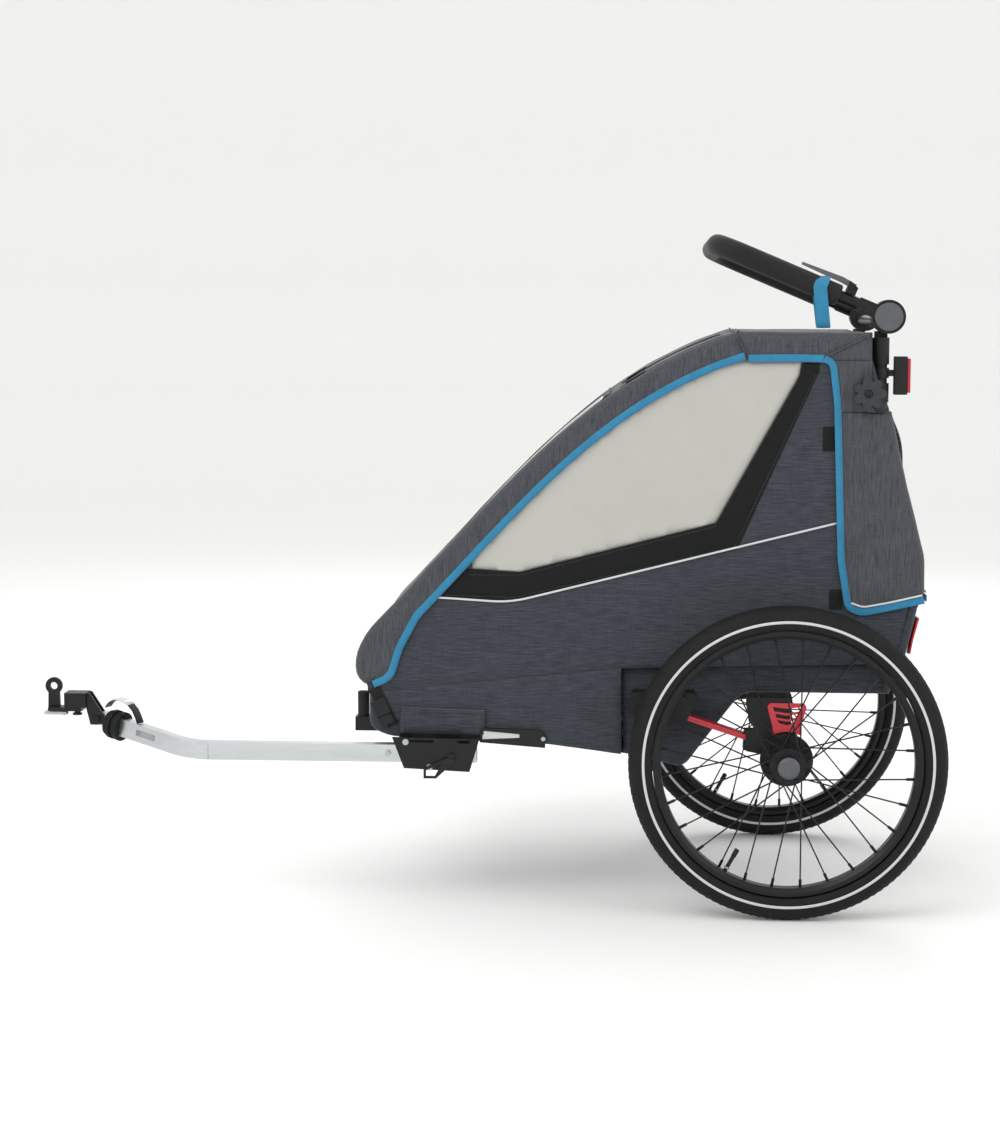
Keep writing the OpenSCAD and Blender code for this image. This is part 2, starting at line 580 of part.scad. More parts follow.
module rear_light() color("#111111") {
    difference() {
        union() {
            translate([rear_pivot_x, -post_y, 600]) cylinder(r = post_r + 3, h = 16);
            translate([rear_pivot_x + 6, -post_y - 6, 603]) cube([16, 12, 10]);
        }
        translate([rear_pivot_x, -post_y, 599]) cylinder(r = post_r, h = 18);
    }
    translate([rear_pivot_x + 22, -post_y - 12, 574]) cube([20, 24, 60]);
}
module light_lens() color("red") translate([rear_pivot_x + 42, -post_y - 10, 577]) cube([5, 20, 54]);

// A star knob with seven lobes on a stud
module star_knob(side) color("black") mirror([0, side < 0 ? 1 : 0, 0]) {
    shaft(knob_at, 19, cover_y + 2, cover_y + 18);
    for (i = [0:6]) shaft(knob_at + 19 * [cos(i * 360 / 7), sin(i * 360 / 7)], 7, cover_y + 2, cover_y + 18);
    shaft(knob_at, axis_r, post_y + 8, cover_y + 3);
}
module star_knob_left() star_knob(-1);
module star_knob_right() star_knob(1);

// Toothed rings between the halves of the hinge discs
module clutch_rings() color("gray") both_sides() {
    for (i = [0:11]) shaft(bar_pivot + 17 * [cos(i * 30), sin(i * 30)], 2, half_out + 0.3, half_out + 3.7);
    shaft(bar_pivot, 17, half_out + 0.3, half_out + 3.7);
    shaft(bar_pivot, axis_r, half_in + 3, half_out + 8);
}

// Push bar: one bent tube from disc to disc
bar_r = bar_d / 2;
grip_r = grip_d / 2;
arm_y = post_y + 8;
function on_bar(s, up) = bar_pivot + s * [-cos(bar_angle), sin(bar_angle)]
    + up * [sin(bar_angle), cos(bar_angle)];
corner_r = 55;
function bar_point(s, y) = along_y(on_bar(s, 0), y);
half_bar = concat([bar_point(disc_r - 2, arm_y), bar_point(82, arm_y)], [for (a = [0:15:90])
    bar_point(bar_reach - corner_r + corner_r * sin(a), arm_y - corner_r + corner_r * cos(a))]);
bar_line = concat(half_bar, [for (p = reversed(half_bar)) [p[0], -p[1], p[2]]]);
bar_normal = [sin(bar_angle), 0, cos(bar_angle)];
module push_bar_arms() color("#222222") {
    swept_tube(bar_line, circle_points(bar_r, 12), circle_points(bar_r - 2, 12), bar_normal);
    both_sides() difference() {
        union() {
            shaft(bar_pivot, disc_r, half_out + 4, half_out + 18);
            plate_xz([on_bar(disc_r - 6, -11), on_bar(52, -11), on_bar(52, 11), on_bar(disc_r - 6, 11)],
                half_out + 4, half_out + 18);
        }
        shaft(bar_pivot, 22.3, half_out + 12, half_out + 19);
        shaft(bar_pivot, axis_r + running_gap, half_out + 3, half_out + 9);
        shaft(bar_pivot, 6 + running_gap, half_out + 9, half_out + 19);
    }
    for (y = [-10, 6]) plate_xz([on_bar(62, bar_r - 1), on_bar(62, 22), on_bar(78, 28), on_bar(78, bar_r - 1)],
        y - arm_y, y + 4 - arm_y);
    shaft(on_bar(72, 21), 2.5, -arm_y - 6, -arm_y + 6);
}
module push_bar_grip() color("#1c1c1c")
    swept_tube([for (i = [1:len(bar_line) - 2]) bar_line[i]],
        circle_points(grip_r, 16), circle_points(bar_r + 0.3, 16), bar_normal);
// Flat loop of webbing: a band over the grip, two legs and the bottom that joins them
strap_t = 1.8;
strap_at = 118;
strap_in = grip_r + 0.3;
strap_low = -62;
module wrist_strap() color("#1a86b0") translate(bar_point(strap_at, -arm_y)) {
    rotate([0, bar_angle - 90, 0]) difference() {
        translate([0, 0, -11]) cylinder(r = strap_in + strap_t, h = 22);
        translate([0, 0, -12]) cylinder(r = strap_in, h = 24);
        translate([-60, -30, -12]) cube([60, 60, 24]);
    }
    for (y = [-strap_in - strap_t - 0.1, strap_in + 0.1])
        plate_xz([[-10, 4], [10, -4], [18, strap_low], [-4, strap_low]], y, y + strap_t);
    plate_xz([[18, strap_low], [-4, strap_low], [-4, strap_low - strap_t], [18, strap_low - strap_t]],
        -strap_in - strap_t - 0.1, strap_in + strap_t + 0.1);
}
module hinge_button(side) color("gray") mirror([0, side < 0 ? 1 : 0, 0]) {
    shaft(bar_pivot, 22, half_out + 15.4, half_out + 20);
    shaft(bar_pivot, 6, half_out + 12.8, half_out + 16);
}
module hinge_button_left() hinge_button(-1);
module hinge_button_right() hinge_button(1);
// Parking brake lever that lies along the left arm
module brake_lever() color("gray") difference() {
    plate_xz([for (p = [[66, 18], [66, 26], [90, 29], [158, 26], [158, 22], [90, 20]]) on_bar(p[0], p[1])],
        -arm_y - 5.7, -arm_y + 5.7);
    shaft(on_bar(72, 21), 2.5 + running_gap, -arm_y - 7, -arm_y + 7);
}

// Wheels, made for the right side and mirrored for the left
module wheel_side(side) mirror([0, side < 0 ? 1 : 0, 0]) translate([0, wheel_y, 0])
    rotate([-90, 0, 0]) children();
module tyre(side) color("#151515") wheel_side(side) rotate_extrude($fn = 96) difference() {
    translate([bead_d / 2 + tyre_w / 2, 0]) circle(r = tyre_w / 2);
    translate([bead_d / 2 + tyre_w / 2, 0]) circle(r = tyre_w / 2 - 4);
    translate([0, -tyre_w]) square([rim_out_r + 0.2, 2 * tyre_w]);
}
rim_half = rim_w / 2;
valve_angle = 61;
valve_l = 34;
rim_side = [[rim_in_r, rim_half - 5], [rim_in_r + 6, rim_half], [rim_out_r, rim_half], [rim_out_r, rim_half - 2],
    [rim_in_r + 5, rim_half - 4]];
module rim(side) color("#1a1a1a") wheel_side(side) {
    rotate_extrude($fn = 96) polygon(concat([for (p = rim_side) [p[0], -p[1]]], [[rim_in_r + 3, 0]],
        reversed(rim_side)));
    rotate([0, 0, 90 - valve_angle]) translate([0, rim_in_r - valve_l, 0]) rotate([-90, 0, 0])
        cylinder(r = 3.2, h = valve_l + 1.5);
}
// Spokes run from holes in the flanges to the rim, leaning forward and back in turn
lean_angle = 55;
module spokes(side) color("#1a1a1a") wheel_side(side) for (i = [0:spoke_count - 1]) {
    rim_angle = (i + 0.5) * 360 / spoke_count;
    flange = i % 2 == 0 ? 1 : -1;
    lean = i % 4 < 2 ? 1 : -1;
    hub_angle = rim_angle + lean * lean_angle;
    start = [flange_r * cos(hub_angle), flange_r * sin(hub_angle), flange * (flange_gap / 2) + lean * 3.2];
    end = [(rim_in_r - 0.2) * cos(rim_angle), (rim_in_r - 0.2) * sin(rim_angle), flange * 3];
    d = end - start;
    translate(start) rotate([0, acos(d[2] / norm(d)), atan2(d[1], d[0])]) {
        cylinder(r = spoke_d / 2, h = norm(d) - 10, $fn = 16);
        translate([0, 0, norm(d) - 12]) cylinder(r = spoke_d / 2 + 1.2, h = 11.8, $fn = 16);
    }
}
hub_end = flange_gap / 2 + 12;
axle_r = axle_d / 2;
carrier_t = 6;
carrier_out = flange_gap / 2 + 14;
module hub(side) color("#222222") wheel_side(side) difference() {
    union() {
        translate([0, 0, -hub_end + 3]) cylinder(r = 14, h = 2 * hub_end - 3);
        for (f = [-1, 1]) translate([0, 0, f * flange_gap / 2 - 2]) cylinder(r = flange_r + 4, h = 4);
        difference() {
            translate([0, 0, -flange_gap / 2 - 9]) cylinder(r = brake_ring_r, h = 4);
            for (i = [0:11]) rotate([0, 0, 30 * i]) translate([brake_ring_r - 12, -5, -flange_gap / 2 - 7])
                cube([8, 10, 4]);
        }
        translate([0, 0, -carrier_out - carrier_t - 5]) cylinder(r = axle_r, h = carrier_out + carrier_t);
    }
    translate([0, 0, hub_end - 14]) cylinder(r = 6 + running_gap, h = 20);
}
module axle_button(side) color("gray") wheel_side(side) {
    translate([0, 0, hub_end + 4]) cylinder(r = 17, h = 4);
    translate([0, 0, hub_end + 8]) cylinder(r1 = 17, r2 = 13, h = 3);
    translate([0, 0, hub_end - 10]) cylinder(r = 6, h = 15);
}
module tyre_left() tyre(-1);
module tyre_right() tyre(1);
module rim_left() rim(-1);
module rim_right() rim(1);
module spokes_left() spokes(-1);
module spokes_right() spokes(1);
module hub_left() hub(-1);
module hub_right() hub(1);
module axle_button_left() axle_button(-1);
module axle_button_right() axle_button(1);

// Leaf springs: a long main leaf with an eye at its front, and a shorter leaf on top of it
leaf_tail = [-44, 24];
leaf_dir = unit(leaf_tail - leaf_eye);
leaf_up = [-leaf_dir[1], leaf_dir[0]];
module leaf(from, to, low, high) plate_xz([leaf_eye + from * leaf_dir + low * leaf_up,
    leaf_tail + to * leaf_dir + low * leaf_up, leaf_tail + to * leaf_dir + high * leaf_up,
    leaf_eye + from * leaf_dir + high * leaf_up], leaf_in, leaf_out);
module leaf_spring(side) color("#b3202a") mirror([0, side < 0 ? 1 : 0, 0]) {
    difference() {
        union() {
            leaf(0, 4, -leaf_t / 2, leaf_t / 2);
            shaft(leaf_eye, leaf_pin_r + 3, leaf_in, leaf_out);
        }
        shaft(leaf_eye, leaf_pin_r + running_gap, leaf_in - 1, leaf_out + 1);
    }
    leaf(16, -14, leaf_t / 2 + 0.2, leaf_t * 1.5 + 0.2);
}
carrier_y = wheel_y - carrier_out;
module axle_carrier(side) color("#1a1a1a") mirror([0, side < 0 ? 1 : 0, 0]) {
    difference() {
        plate_xz([[-64, 12], [-64, 42], [-52, 50], [-60, 60], [-64, 98], [6, 98], [6, 62], [18, 36], [18, -8],
            [8, -18], [-8, -18], [-26, 2], [-44, 8]], carrier_y - carrier_t, carrier_y);
        shaft([0, 0], axle_r + running_gap, carrier_y - carrier_t - 1, carrier_y + 1);
        leaf(60, 6, -leaf_t, 2 * leaf_t);
    }
    difference() {
        plate_xz([[-68, 12], [-66, 44], [-48, 44], [-46, 12]], leaf_in - 3, carrier_y - carrier_t);
        leaf(60, 40, -leaf_t / 2, leaf_t * 1.5 + 0.2);
    }
}
// Red plate with three curved slots, cut away round the hub
slot_dip = 3;
module curved_slot(top, low, wide, narrow) plate_xz([[-wide, top], [0, top - slot_dip], [wide, top], [narrow, low],
    [0, low - slot_dip], [-narrow, low]], carrier_y - 1, carrier_y + 4);
module slot_plate(side) color("#b3202a") mirror([0, side < 0 ? 1 : 0, 0]) difference() {
    plate_xz([[-27, 90], [27, 90], [31, 84], [22, 50], [22, 30], [-22, 30], [-22, 50], [-31, 84]],
        carrier_y, carrier_y + 3);
    shaft([0, 0], 44, carrier_y - 1, carrier_y + 4);
    curved_slot(84, 77, 22, 20);
    curved_slot(73, 67, 18, 16.5);
    curved_slot(63, 58, 15, 12);
}
module leaf_spring_left() leaf_spring(-1);
module leaf_spring_right() leaf_spring(1);
module axle_carrier_left() axle_carrier(-1);
module axle_carrier_right() axle_carrier(1);
module slot_plate_left() slot_plate(-1);
module slot_plate_right() slot_plate(1);

// Output: one node, or the whole trailer
place() base_side_tubes();
place() base_cross_tubes();
place() wheel_socket();
place() chassis_fasteners();
place() drawbar_bracket();
place() spring_mounts();
place() reflector_pods();
place() cover_buckles();
place() rear_reflectors();
place() seat_cushion();
place() backrest();
place() harness_straps();
place() harness_buckle();
place() harness_button();
place() lower_body();
place() side_panels();
place() side_windows();
place() rear_cover();
place() mesh_pocket();
place() drawbar();
place() drawbar_boot();
place() safety_strap();
place() drawbar_pin();
place() snap_button();
place() hitch_fork();
place() axle_adapter();
place() hitch_lever();
place() roof_hoop();
place() roof_cover();
place() front_cover();
place() rear_hoop();
place() hinge_discs();
place() knob_brackets();
place() rear_light();
place() light_lens();
place() star_knob_left();
place() star_knob_right();
place() clutch_rings();
place() push_bar_arms();
place() push_bar_grip();
place() wrist_strap();
place() hinge_button_left();
place() hinge_button_right();
place() brake_lever();
place() tyre_left();
place() tyre_right();
place() rim_left();
place() rim_right();
place() spokes_left();
place() spokes_right();
place() hub_left();
place() hub_right();
place() axle_button_left();
place() axle_button_right();
place() leaf_spring_left();
place() leaf_spring_right();
place() axle_carrier_left();
place() axle_carrier_right();
place() slot_plate_left();
place() slot_plate_right();
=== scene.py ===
import math

import bmesh
import bpy
import numpy as np
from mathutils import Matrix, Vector, noise
from mathutils.geometry import delaunay_2d_cdt


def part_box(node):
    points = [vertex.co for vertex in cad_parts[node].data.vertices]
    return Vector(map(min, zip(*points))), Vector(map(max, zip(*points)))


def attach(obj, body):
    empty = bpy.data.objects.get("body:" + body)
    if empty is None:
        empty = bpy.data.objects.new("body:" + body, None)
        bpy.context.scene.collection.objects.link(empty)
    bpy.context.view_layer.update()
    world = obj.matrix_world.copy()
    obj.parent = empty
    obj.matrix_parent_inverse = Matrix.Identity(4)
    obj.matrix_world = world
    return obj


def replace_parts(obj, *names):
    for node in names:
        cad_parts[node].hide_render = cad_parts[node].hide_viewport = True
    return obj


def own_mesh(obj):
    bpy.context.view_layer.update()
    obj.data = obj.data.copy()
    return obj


# Stitches are 4.2 mm apart.
STITCH = 4.2

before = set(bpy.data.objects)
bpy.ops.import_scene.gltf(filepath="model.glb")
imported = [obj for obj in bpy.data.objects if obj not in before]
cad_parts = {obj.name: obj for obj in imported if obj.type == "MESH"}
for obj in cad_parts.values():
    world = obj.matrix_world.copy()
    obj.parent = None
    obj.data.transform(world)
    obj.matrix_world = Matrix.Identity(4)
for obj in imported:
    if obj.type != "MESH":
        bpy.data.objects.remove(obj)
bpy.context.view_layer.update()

# Tyres: 47-406 wire-bead tyres of black rubber, moulded with small square blocks over the crown and
# shoulders, and a retro-reflective ring vulcanised to each sidewall.
tyre_low, tyre_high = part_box("tyre_left")
axle = (tyre_low + tyre_high) / 2
wheel_mid = 1000 * abs(axle.y)
SIDES = (("left", -1), ("right", 1))


def spot(x, y, z):
    """A place in millimetres from the axle's line and the trailer's middle, in the row frame."""
    return Vector((axle.x + x / 1000, y / 1000, axle.z + z / 1000))


def colour(code):
    """An sRGB hex colour as linear RGBA."""
    parts = [int(code[i:i + 2], 16) / 255 for i in (1, 3, 5)]
    return [c / 12.92 if c <= 0.04045 else ((c + 0.055) / 1.055) ** 2.4 for c in parts] + [1.0]


def add(material, kind, values=(), links=(), **settings):
    """Adds a shader node with its settings, its socket values and the sockets that feed it."""
    node = material.node_tree.nodes.new("ShaderNode" + kind)
    for name, value in settings.items():
        setattr(node, name, value)
    for name, value in dict(values).items():
        node.inputs[name].default_value = value
    for name, source in dict(links).items():
        material.node_tree.links.new(source, node.inputs[name])
    return node


def finish_of(name, code, roughness, metallic=0.0, ior=1.5, **more):
    """A new finish with one colour, and its shader node."""
    material = bpy.data.materials.new(name)
    material.use_nodes = True
    material.diffuse_color = colour(code)
    shader = material.node_tree.nodes["Principled BSDF"]
    shader.inputs["Base Color"].default_value = colour(code)
    shader.inputs["Roughness"].default_value = roughness
    shader.inputs["Metallic"].default_value = metallic
    shader.inputs["IOR"].default_value = ior
    for socket, value in more.items():
        shader.inputs[socket.replace("_", " ")].default_value = value
    return material, shader


def grain(material, shader, grain_mm, depth_mm, tint, spread=0.5, stretch=(1, 1, 1)):
    """Mottles a finish between its colour and a tint, and raises a fine grain of that size."""
    link = material.node_tree.links.new
    place = add(material, "TexCoord")
    mapping = add(material, "Mapping", {"Scale": stretch}, {"Vector": place.outputs["Object"]})
    fine = add(material, "TexNoise", {"Scale": 1000 / grain_mm, "Detail": 3.0},
               {"Vector": mapping.outputs[0]})
    broad = add(material, "TexNoise", {"Scale": 60 / grain_mm, "Detail": 4.0},
                {"Vector": mapping.outputs[0]})
    both = add(material, "Math", {}, {0: fine.outputs[0], 1: broad.outputs[0]}, operation="MULTIPLY")
    amount = add(material, "MapRange", {"From Min": 0.15, "From Max": 0.4, "To Max": spread},
                 {"Value": both.outputs[0]})
    mix = add(material, "Mix", {6: shader.inputs["Base Color"].default_value, 7: colour(tint)},
              {0: amount.outputs[0]}, data_type="RGBA")
    bump = add(material, "Bump", {"Strength": 0.6, "Distance": depth_mm / 1000},
               {"Height": fine.outputs[0]})
    link(mix.outputs[2], shader.inputs["Base Color"])
    link(bump.outputs[0], shader.inputs["Normal"])


def grained(name, code, roughness, grain_mm, depth_mm, tint, spread=0.5, stretch=(1, 1, 1), **more):
    """A new finish with a fine grain, mottled between its colour and a tint."""
    material, shader = finish_of(name, code, roughness, **more)
    grain(material, shader, grain_mm, depth_mm, tint, spread, stretch)
    return material


def piece_of(name, points, faces, finish):
    """A new smooth-shaded mesh from points in metres."""
    mesh = bpy.data.meshes.new(name)
    mesh.from_pydata([tuple(p) for p in points], [], faces)
    mesh.materials.append(finish)
    mesh.shade_smooth()
    piece = bpy.data.objects.new(name, mesh)
    bpy.context.scene.collection.objects.link(piece)
    return piece


def tube_faces(rings, size, closed=True):
    """Faces from each ring of points to the next and, if closed, from the last back to the first."""
    return [(i * size + j, i * size + (j + 1) % size, (i + 1) % rings * size + (j + 1) % size,
             (i + 1) % rings * size + j) for i in range(rings if closed else rings - 1) for j in range(size)]


def sheet_faces(rows, columns):
    """Faces of a sheet of points that is laid out row by row."""
    return [(i * columns + j, i * columns + j + 1, (i + 1) * columns + j + 1, (i + 1) * columns + j)
            for i in range(rows - 1) for j in range(columns - 1)]


def turned(profile, count, middle, push=None):
    """Points and faces of a closed profile of (radius, sideways) in mm, turned round the wheel's axle."""
    points = []
    for i in range(count):
        angle = 2 * math.pi * i / count
        for j, (radius, side) in enumerate(profile):
            reach = radius + (push(i, j) if push else 0)
            points.append(spot(reach * math.cos(angle), middle + side, reach * math.sin(angle)))
    return points, tube_faces(count, len(profile))


# Carbon-black rubber: matt, with a dusty grey tint in the grain.
rubber = grained("tyre_rubber_moulded", "#101011", 0.72, 2.5, 0.12, "#1f1e1d", 0.45,
                 ior=1.52, Specular_IOR_Level=0.25)
# Glass-bead tape: pale grey, a little glossy from its clear skin.
reflective = grained("reflective_tape_glass_bead", "#c3c6c8", 0.32, 1.2, 0.02, "#b9bdbf", 0.4,
                     Coat_Weight=0.3)
CROWN, SECTION, CASING, TREAD = 226.5, 23.5, 3.6, 1.3
BEAD_ANGLE = 130
BLOCKS = 124
ANGLES = list(range(-BEAD_ANGLE, BEAD_ANGLE + 1, 10))


def on_section(reach, angle):
    """A place on the tyre's round section: its radius from the axle and its distance sideways, in mm."""
    return CROWN + reach * math.cos(math.radians(angle)), reach * math.sin(math.radians(angle))


outer = [on_section(SECTION - TREAD, angle) for angle in ANGLES]
inner = [on_section(SECTION - CASING, angle) for angle in reversed(ANGLES)]


def block_height(i, j):
    """Radial height in mm of the tread at that slice and profile point."""
    angle = ANGLES[j] if j < len(ANGLES) else 999
    if abs(angle) > 60:
        return 0.0
    shifted = i + (2 if (angle // 20) % 2 else 0)
    return TREAD if shifted % 4 < 2 else 0.0


for side, sign in SIDES:
    body = turned(outer + inner, 4 * BLOCKS, sign * wheel_mid, block_height)
    casing = piece_of(f"tyre_casing_{side}", *body, rubber)
    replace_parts(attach(casing, f"wheel_{side}"), f"tyre_{side}")
    for face, way in (("outer", sign), ("inner", -sign)):
        ring = []
        for angle, lift in ((86, 0.1), (88, 0.45), (95, 0.45), (97, 0.1)):
            radius, aside = on_section(SECTION - TREAD + lift, angle)
            ring.append((radius, way * aside))
        ring += [(r, s - way * 1.0) for r, s in reversed(ring)]
        stripe = piece_of(f"tyre_stripe_{face}_{side}", *turned(ring, 180, sign * wheel_mid), reflective)
        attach(stripe, f"wheel_{side}")

# Rims, spokes and hubs: deep-section aluminium rims and steel spokes, all black, laced to a shell with a
# slotted ring for the parking brake. A grey domed button in the hub releases the axle.


def dress(node, finish, edge_mm=0.5, angle=38):
    """Gives a CAD node its finish, and softens its sharp edges with a fine radius."""
    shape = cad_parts[node]
    mesh = shape.data
    mesh.materials.clear()
    mesh.materials.append(finish)
    for face in mesh.polygons:
        face.material_index = 0
    if "custom_normal" in mesh.attributes:
        mesh.attributes.remove(mesh.attributes["custom_normal"])
    mesh.shade_smooth()
    shape.modifiers.new("weld", "WELD").merge_threshold = 2e-6
    if edge_mm:
        edge = shape.modifiers.new("edge_radius", "BEVEL")
        edge.width = edge_mm / 1000
        edge.segments = 2
        edge.angle_limit = math.radians(angle)
        edge.use_clamp_overlap = True
    shape.modifiers.new("flat_faces", "WEIGHTED_NORMAL")
    return shape


# Black powder coat on aluminium: satin, with an orange-peel skin.
powder = grained("aluminium_black_powder_coat", "#0f1011", 0.38, 1.6, 0.05, "#1b1c1e", 0.5,
                 Specular_IOR_Level=0.3)
# Black-oxide steel spokes: darker and smoother.
oxide = grained("steel_black_oxide", "#131416", 0.3, 0.8, 0.01, "#2c2e31", 0.4, metallic=0.55)
# Glass-filled nylon from a spark-eroded mould: black, with a fine even grain.
nylon = grained("nylon_black_moulded", "#101112", 0.52, 1.1, 0.05, "#1d1e20", 0.5,
                ior=1.53, Specular_IOR_Level=0.3)
# The same nylon in a mid grey for the parts a hand presses.
grey_nylon = grained("nylon_grey_moulded", "#4a4c50", 0.48, 1.1, 0.05, "#5a5c60", 0.5, ior=1.53)
# Zinc-plated steel: bright, a little blue, with faint drawing marks.
zinc = grained("steel_zinc_plated", "#b4b8bb", 0.28, 0.9, 0.01, "#8f9396", 0.4, metallic=1.0)
VALVE_ANGLE = math.radians(61)
for side, sign in SIDES:
    dress(f"rim_{side}", powder, 0.4)
    dress(f"spokes_{side}", oxide, 0)
    dress(f"hub_{side}", nylon, 0.6)
    dress(f"axle_button_{side}", grey_nylon, 1.2)
    # Valve: a brass stem with a knurled ring at the rim and a black dust cap on its end.
    rim_point = Vector((-math.cos(VALVE_ANGLE), 0, -math.sin(VALVE_ANGLE)))
    for part, low, high, wide, finish in (("ring", 190.5, 193.5, 5.0, zinc), ("cap", 158, 172, 4.1, nylon)):
        other = rim_point.cross(Vector((0, 1, 0)))
        points = []
        for reach, radius in ((low, 0.6 * wide), (low + 0.6, wide), (high - 0.6, wide), (high, 0.8 * wide)):
            for k in range(20):
                turn = 2 * math.pi * k / 20
                ridge = radius * (1.0 if k % 2 else 0.93)
                off = other * ridge * math.cos(turn) + Vector((0, 1, 0)) * ridge * math.sin(turn)
                points.append(spot(*(rim_point * reach + off + Vector((0, sign * wheel_mid, 0)))))
        faces = tube_faces(4, 20, closed=False) + [tuple(range(19, -1, -1)), tuple(range(60, 80))]
        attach(piece_of(f"valve_{part}_{side}", points, faces, finish), f"wheel_{side}")

# Suspension: each wheel hangs on a red powder-coated leaf spring, clamped to a black carrier that also holds
# the red slotted guard of the brake.
red_coat = grained("steel_red_powder_coat", "#c4202f", 0.34, 1.6, 0.05, "#a01724", 0.5,
                   Coat_Weight=0.25)
for side, sign in SIDES:
    dress(f"leaf_spring_{side}", red_coat, 0.5)
    dress(f"slot_plate_{side}", red_coat, 0.6)
    dress(f"axle_carrier_{side}", nylon, 0.8)
dress("spring_mounts", nylon, 0.6)

# Base frame: welded aluminium tubes, clear anodised, with black moulded fittings and zinc-plated fasteners.
# Brushed along its length and anodised: soft grey with long faint lines.
anodised = grained("aluminium_brushed_anodised", "#c9ccce", 0.3, 1.4, 0.015, "#b3b6b9", 0.5,
                   stretch=(0.06, 1, 1), metallic=1.0)
for node in ("base_side_tubes", "base_cross_tubes", "roof_hoop"):
    dress(node, anodised, 0)
dress("rear_hoop", powder, 0)
dress("wheel_socket", nylon, 0.8)
dress("chassis_fasteners", zinc, 0.4)
dress("drawbar_bracket", powder, 0.6)
pods = dress("reflector_pods", nylon, 0.8)
# The shallow wedge at the front of each pod holds a pale reflector.
pods.data.materials.append(reflective)
pod_face = max(v.co.y for v in pods.data.vertices)
for face in pods.data.polygons:
    depths = [pod_face - abs(pods.data.vertices[i].co.y) for i in face.vertices]
    if min(depths) > 0.001 and max(depths) < 0.002:
        face.material_index = 1

# Tub: coated polyester cloth from the footwell to the back of the floor, with welted lower corners.


def bezier(a, b, c, d, count):
    """Points along a cubic curve in the side plane, in mm."""
    line = []
    for i in range(count + 1):
        t = i / count
        line.append(tuple((1 - t) ** 3 * a[k] + 3 * t * (1 - t) ** 2 * b[k] + 3 * t * t * (1 - t) * c[k]
                          + t ** 3 * d[k] for k in (0, 1)))
    return line


def spaced(line, pitch):
    """The same line with points at most pitch mm apart."""
    out = [line[0]]
    for a, b in zip(line, line[1:]):
        count = max(1, math.ceil(math.dist(a, b) / pitch))
        out += [tuple(a[k] + (b[k] - a[k]) * i / count for k in range(len(a))) for i in range(1, count + 1)]
    return out


def eased(line, radius, count=5):
    """The same line with its corners rounded off."""
    out = [line[0]]
    for a, b, c in zip(line, line[1:], line[2:]):
        near, far = math.dist(a, b), math.dist(b, c)
        cut_in, cut_out = min(radius, near * 0.45), min(radius, far * 0.45)
        start = tuple(b[k] + (a[k] - b[k]) * cut_in / near for k in (0, 1))
        end = tuple(b[k] + (c[k] - b[k]) * cut_out / far for k in (0, 1))
        for i in range(count + 1):
            t = i / count
            out.append(tuple((1 - t) ** 2 * start[k] + 2 * t * (1 - t) * b[k] + t * t * end[k]
                             for k in (0, 1)))
    return out + [line[-1]]


def moved_in(line, depth):
    """The line moved to its right-hand side by depth mm."""
    out = []
    for i, p in enumerate(line):
        a, b = line[max(0, i - 1)], line[min(len(line) - 1, i + 1)]
        run = math.dist(a, b)
        out.append((p[0] + depth * (b[1] - a[1]) / run, p[1] - depth * (b[0] - a[0]) / run))
    return out


def inside(outline, points):
    """Which points lie inside an outline."""
    x, z = np.array(points).T
    result = np.zeros(len(x), bool)
    for (ax, az), (bx, bz) in zip(outline, outline[1:] + outline[:1]):
        if az == bz:
            continue
        crosses = (az > z) != (bz > z)
        result ^= crosses & (x < (bx - ax) * (z - az) / (bz - az) + ax)
    return result


def cut_cloth(outline, pitch, hole=None):
    """Points in mm and triangles that fill an outline, with an even mesh inside it."""
    rings = [spaced(ring + [ring[0]], pitch)[:-1] for ring in ([outline, hole] if hole else [outline])]
    border = [p for ring in rings for p in ring]
    edges = []
    for ring in rings:
        first = len(edges)
        edges += [(first + i, first + (i + 1) % len(ring)) for i in range(len(ring))]
    low = np.min(border, axis=0)
    high = np.max(border, axis=0)
    grid = []
    for row, z in enumerate(np.arange(low[1] + pitch / 2, high[1], pitch * 0.87)):
        grid += [(x, z) for x in np.arange(low[0] + pitch * (0.25 + 0.5 * (row % 2)), high[0], pitch)]
    kept = np.array(grid)[inside(rings[0], grid)]
    gaps = np.min(np.linalg.norm(kept[:, None, :] - np.array(border)[None, :, :], axis=2), axis=1)
    kept = kept[gaps > 0.55 * pitch]
    flat = [Vector(p) for p in border] + [Vector(p) for p in kept]
    points, _, faces, *_ = delaunay_2d_cdt(flat, edges, [], 1, 1e-4)
    points = [(p.x, p.y) for p in points]
    if hole:
        centres = [tuple(np.mean([points[i] for i in f], axis=0)) for f in faces]
        faces = [f for f, hidden in zip(faces, inside(rings[1], centres)) if not hidden]
    return points, faces


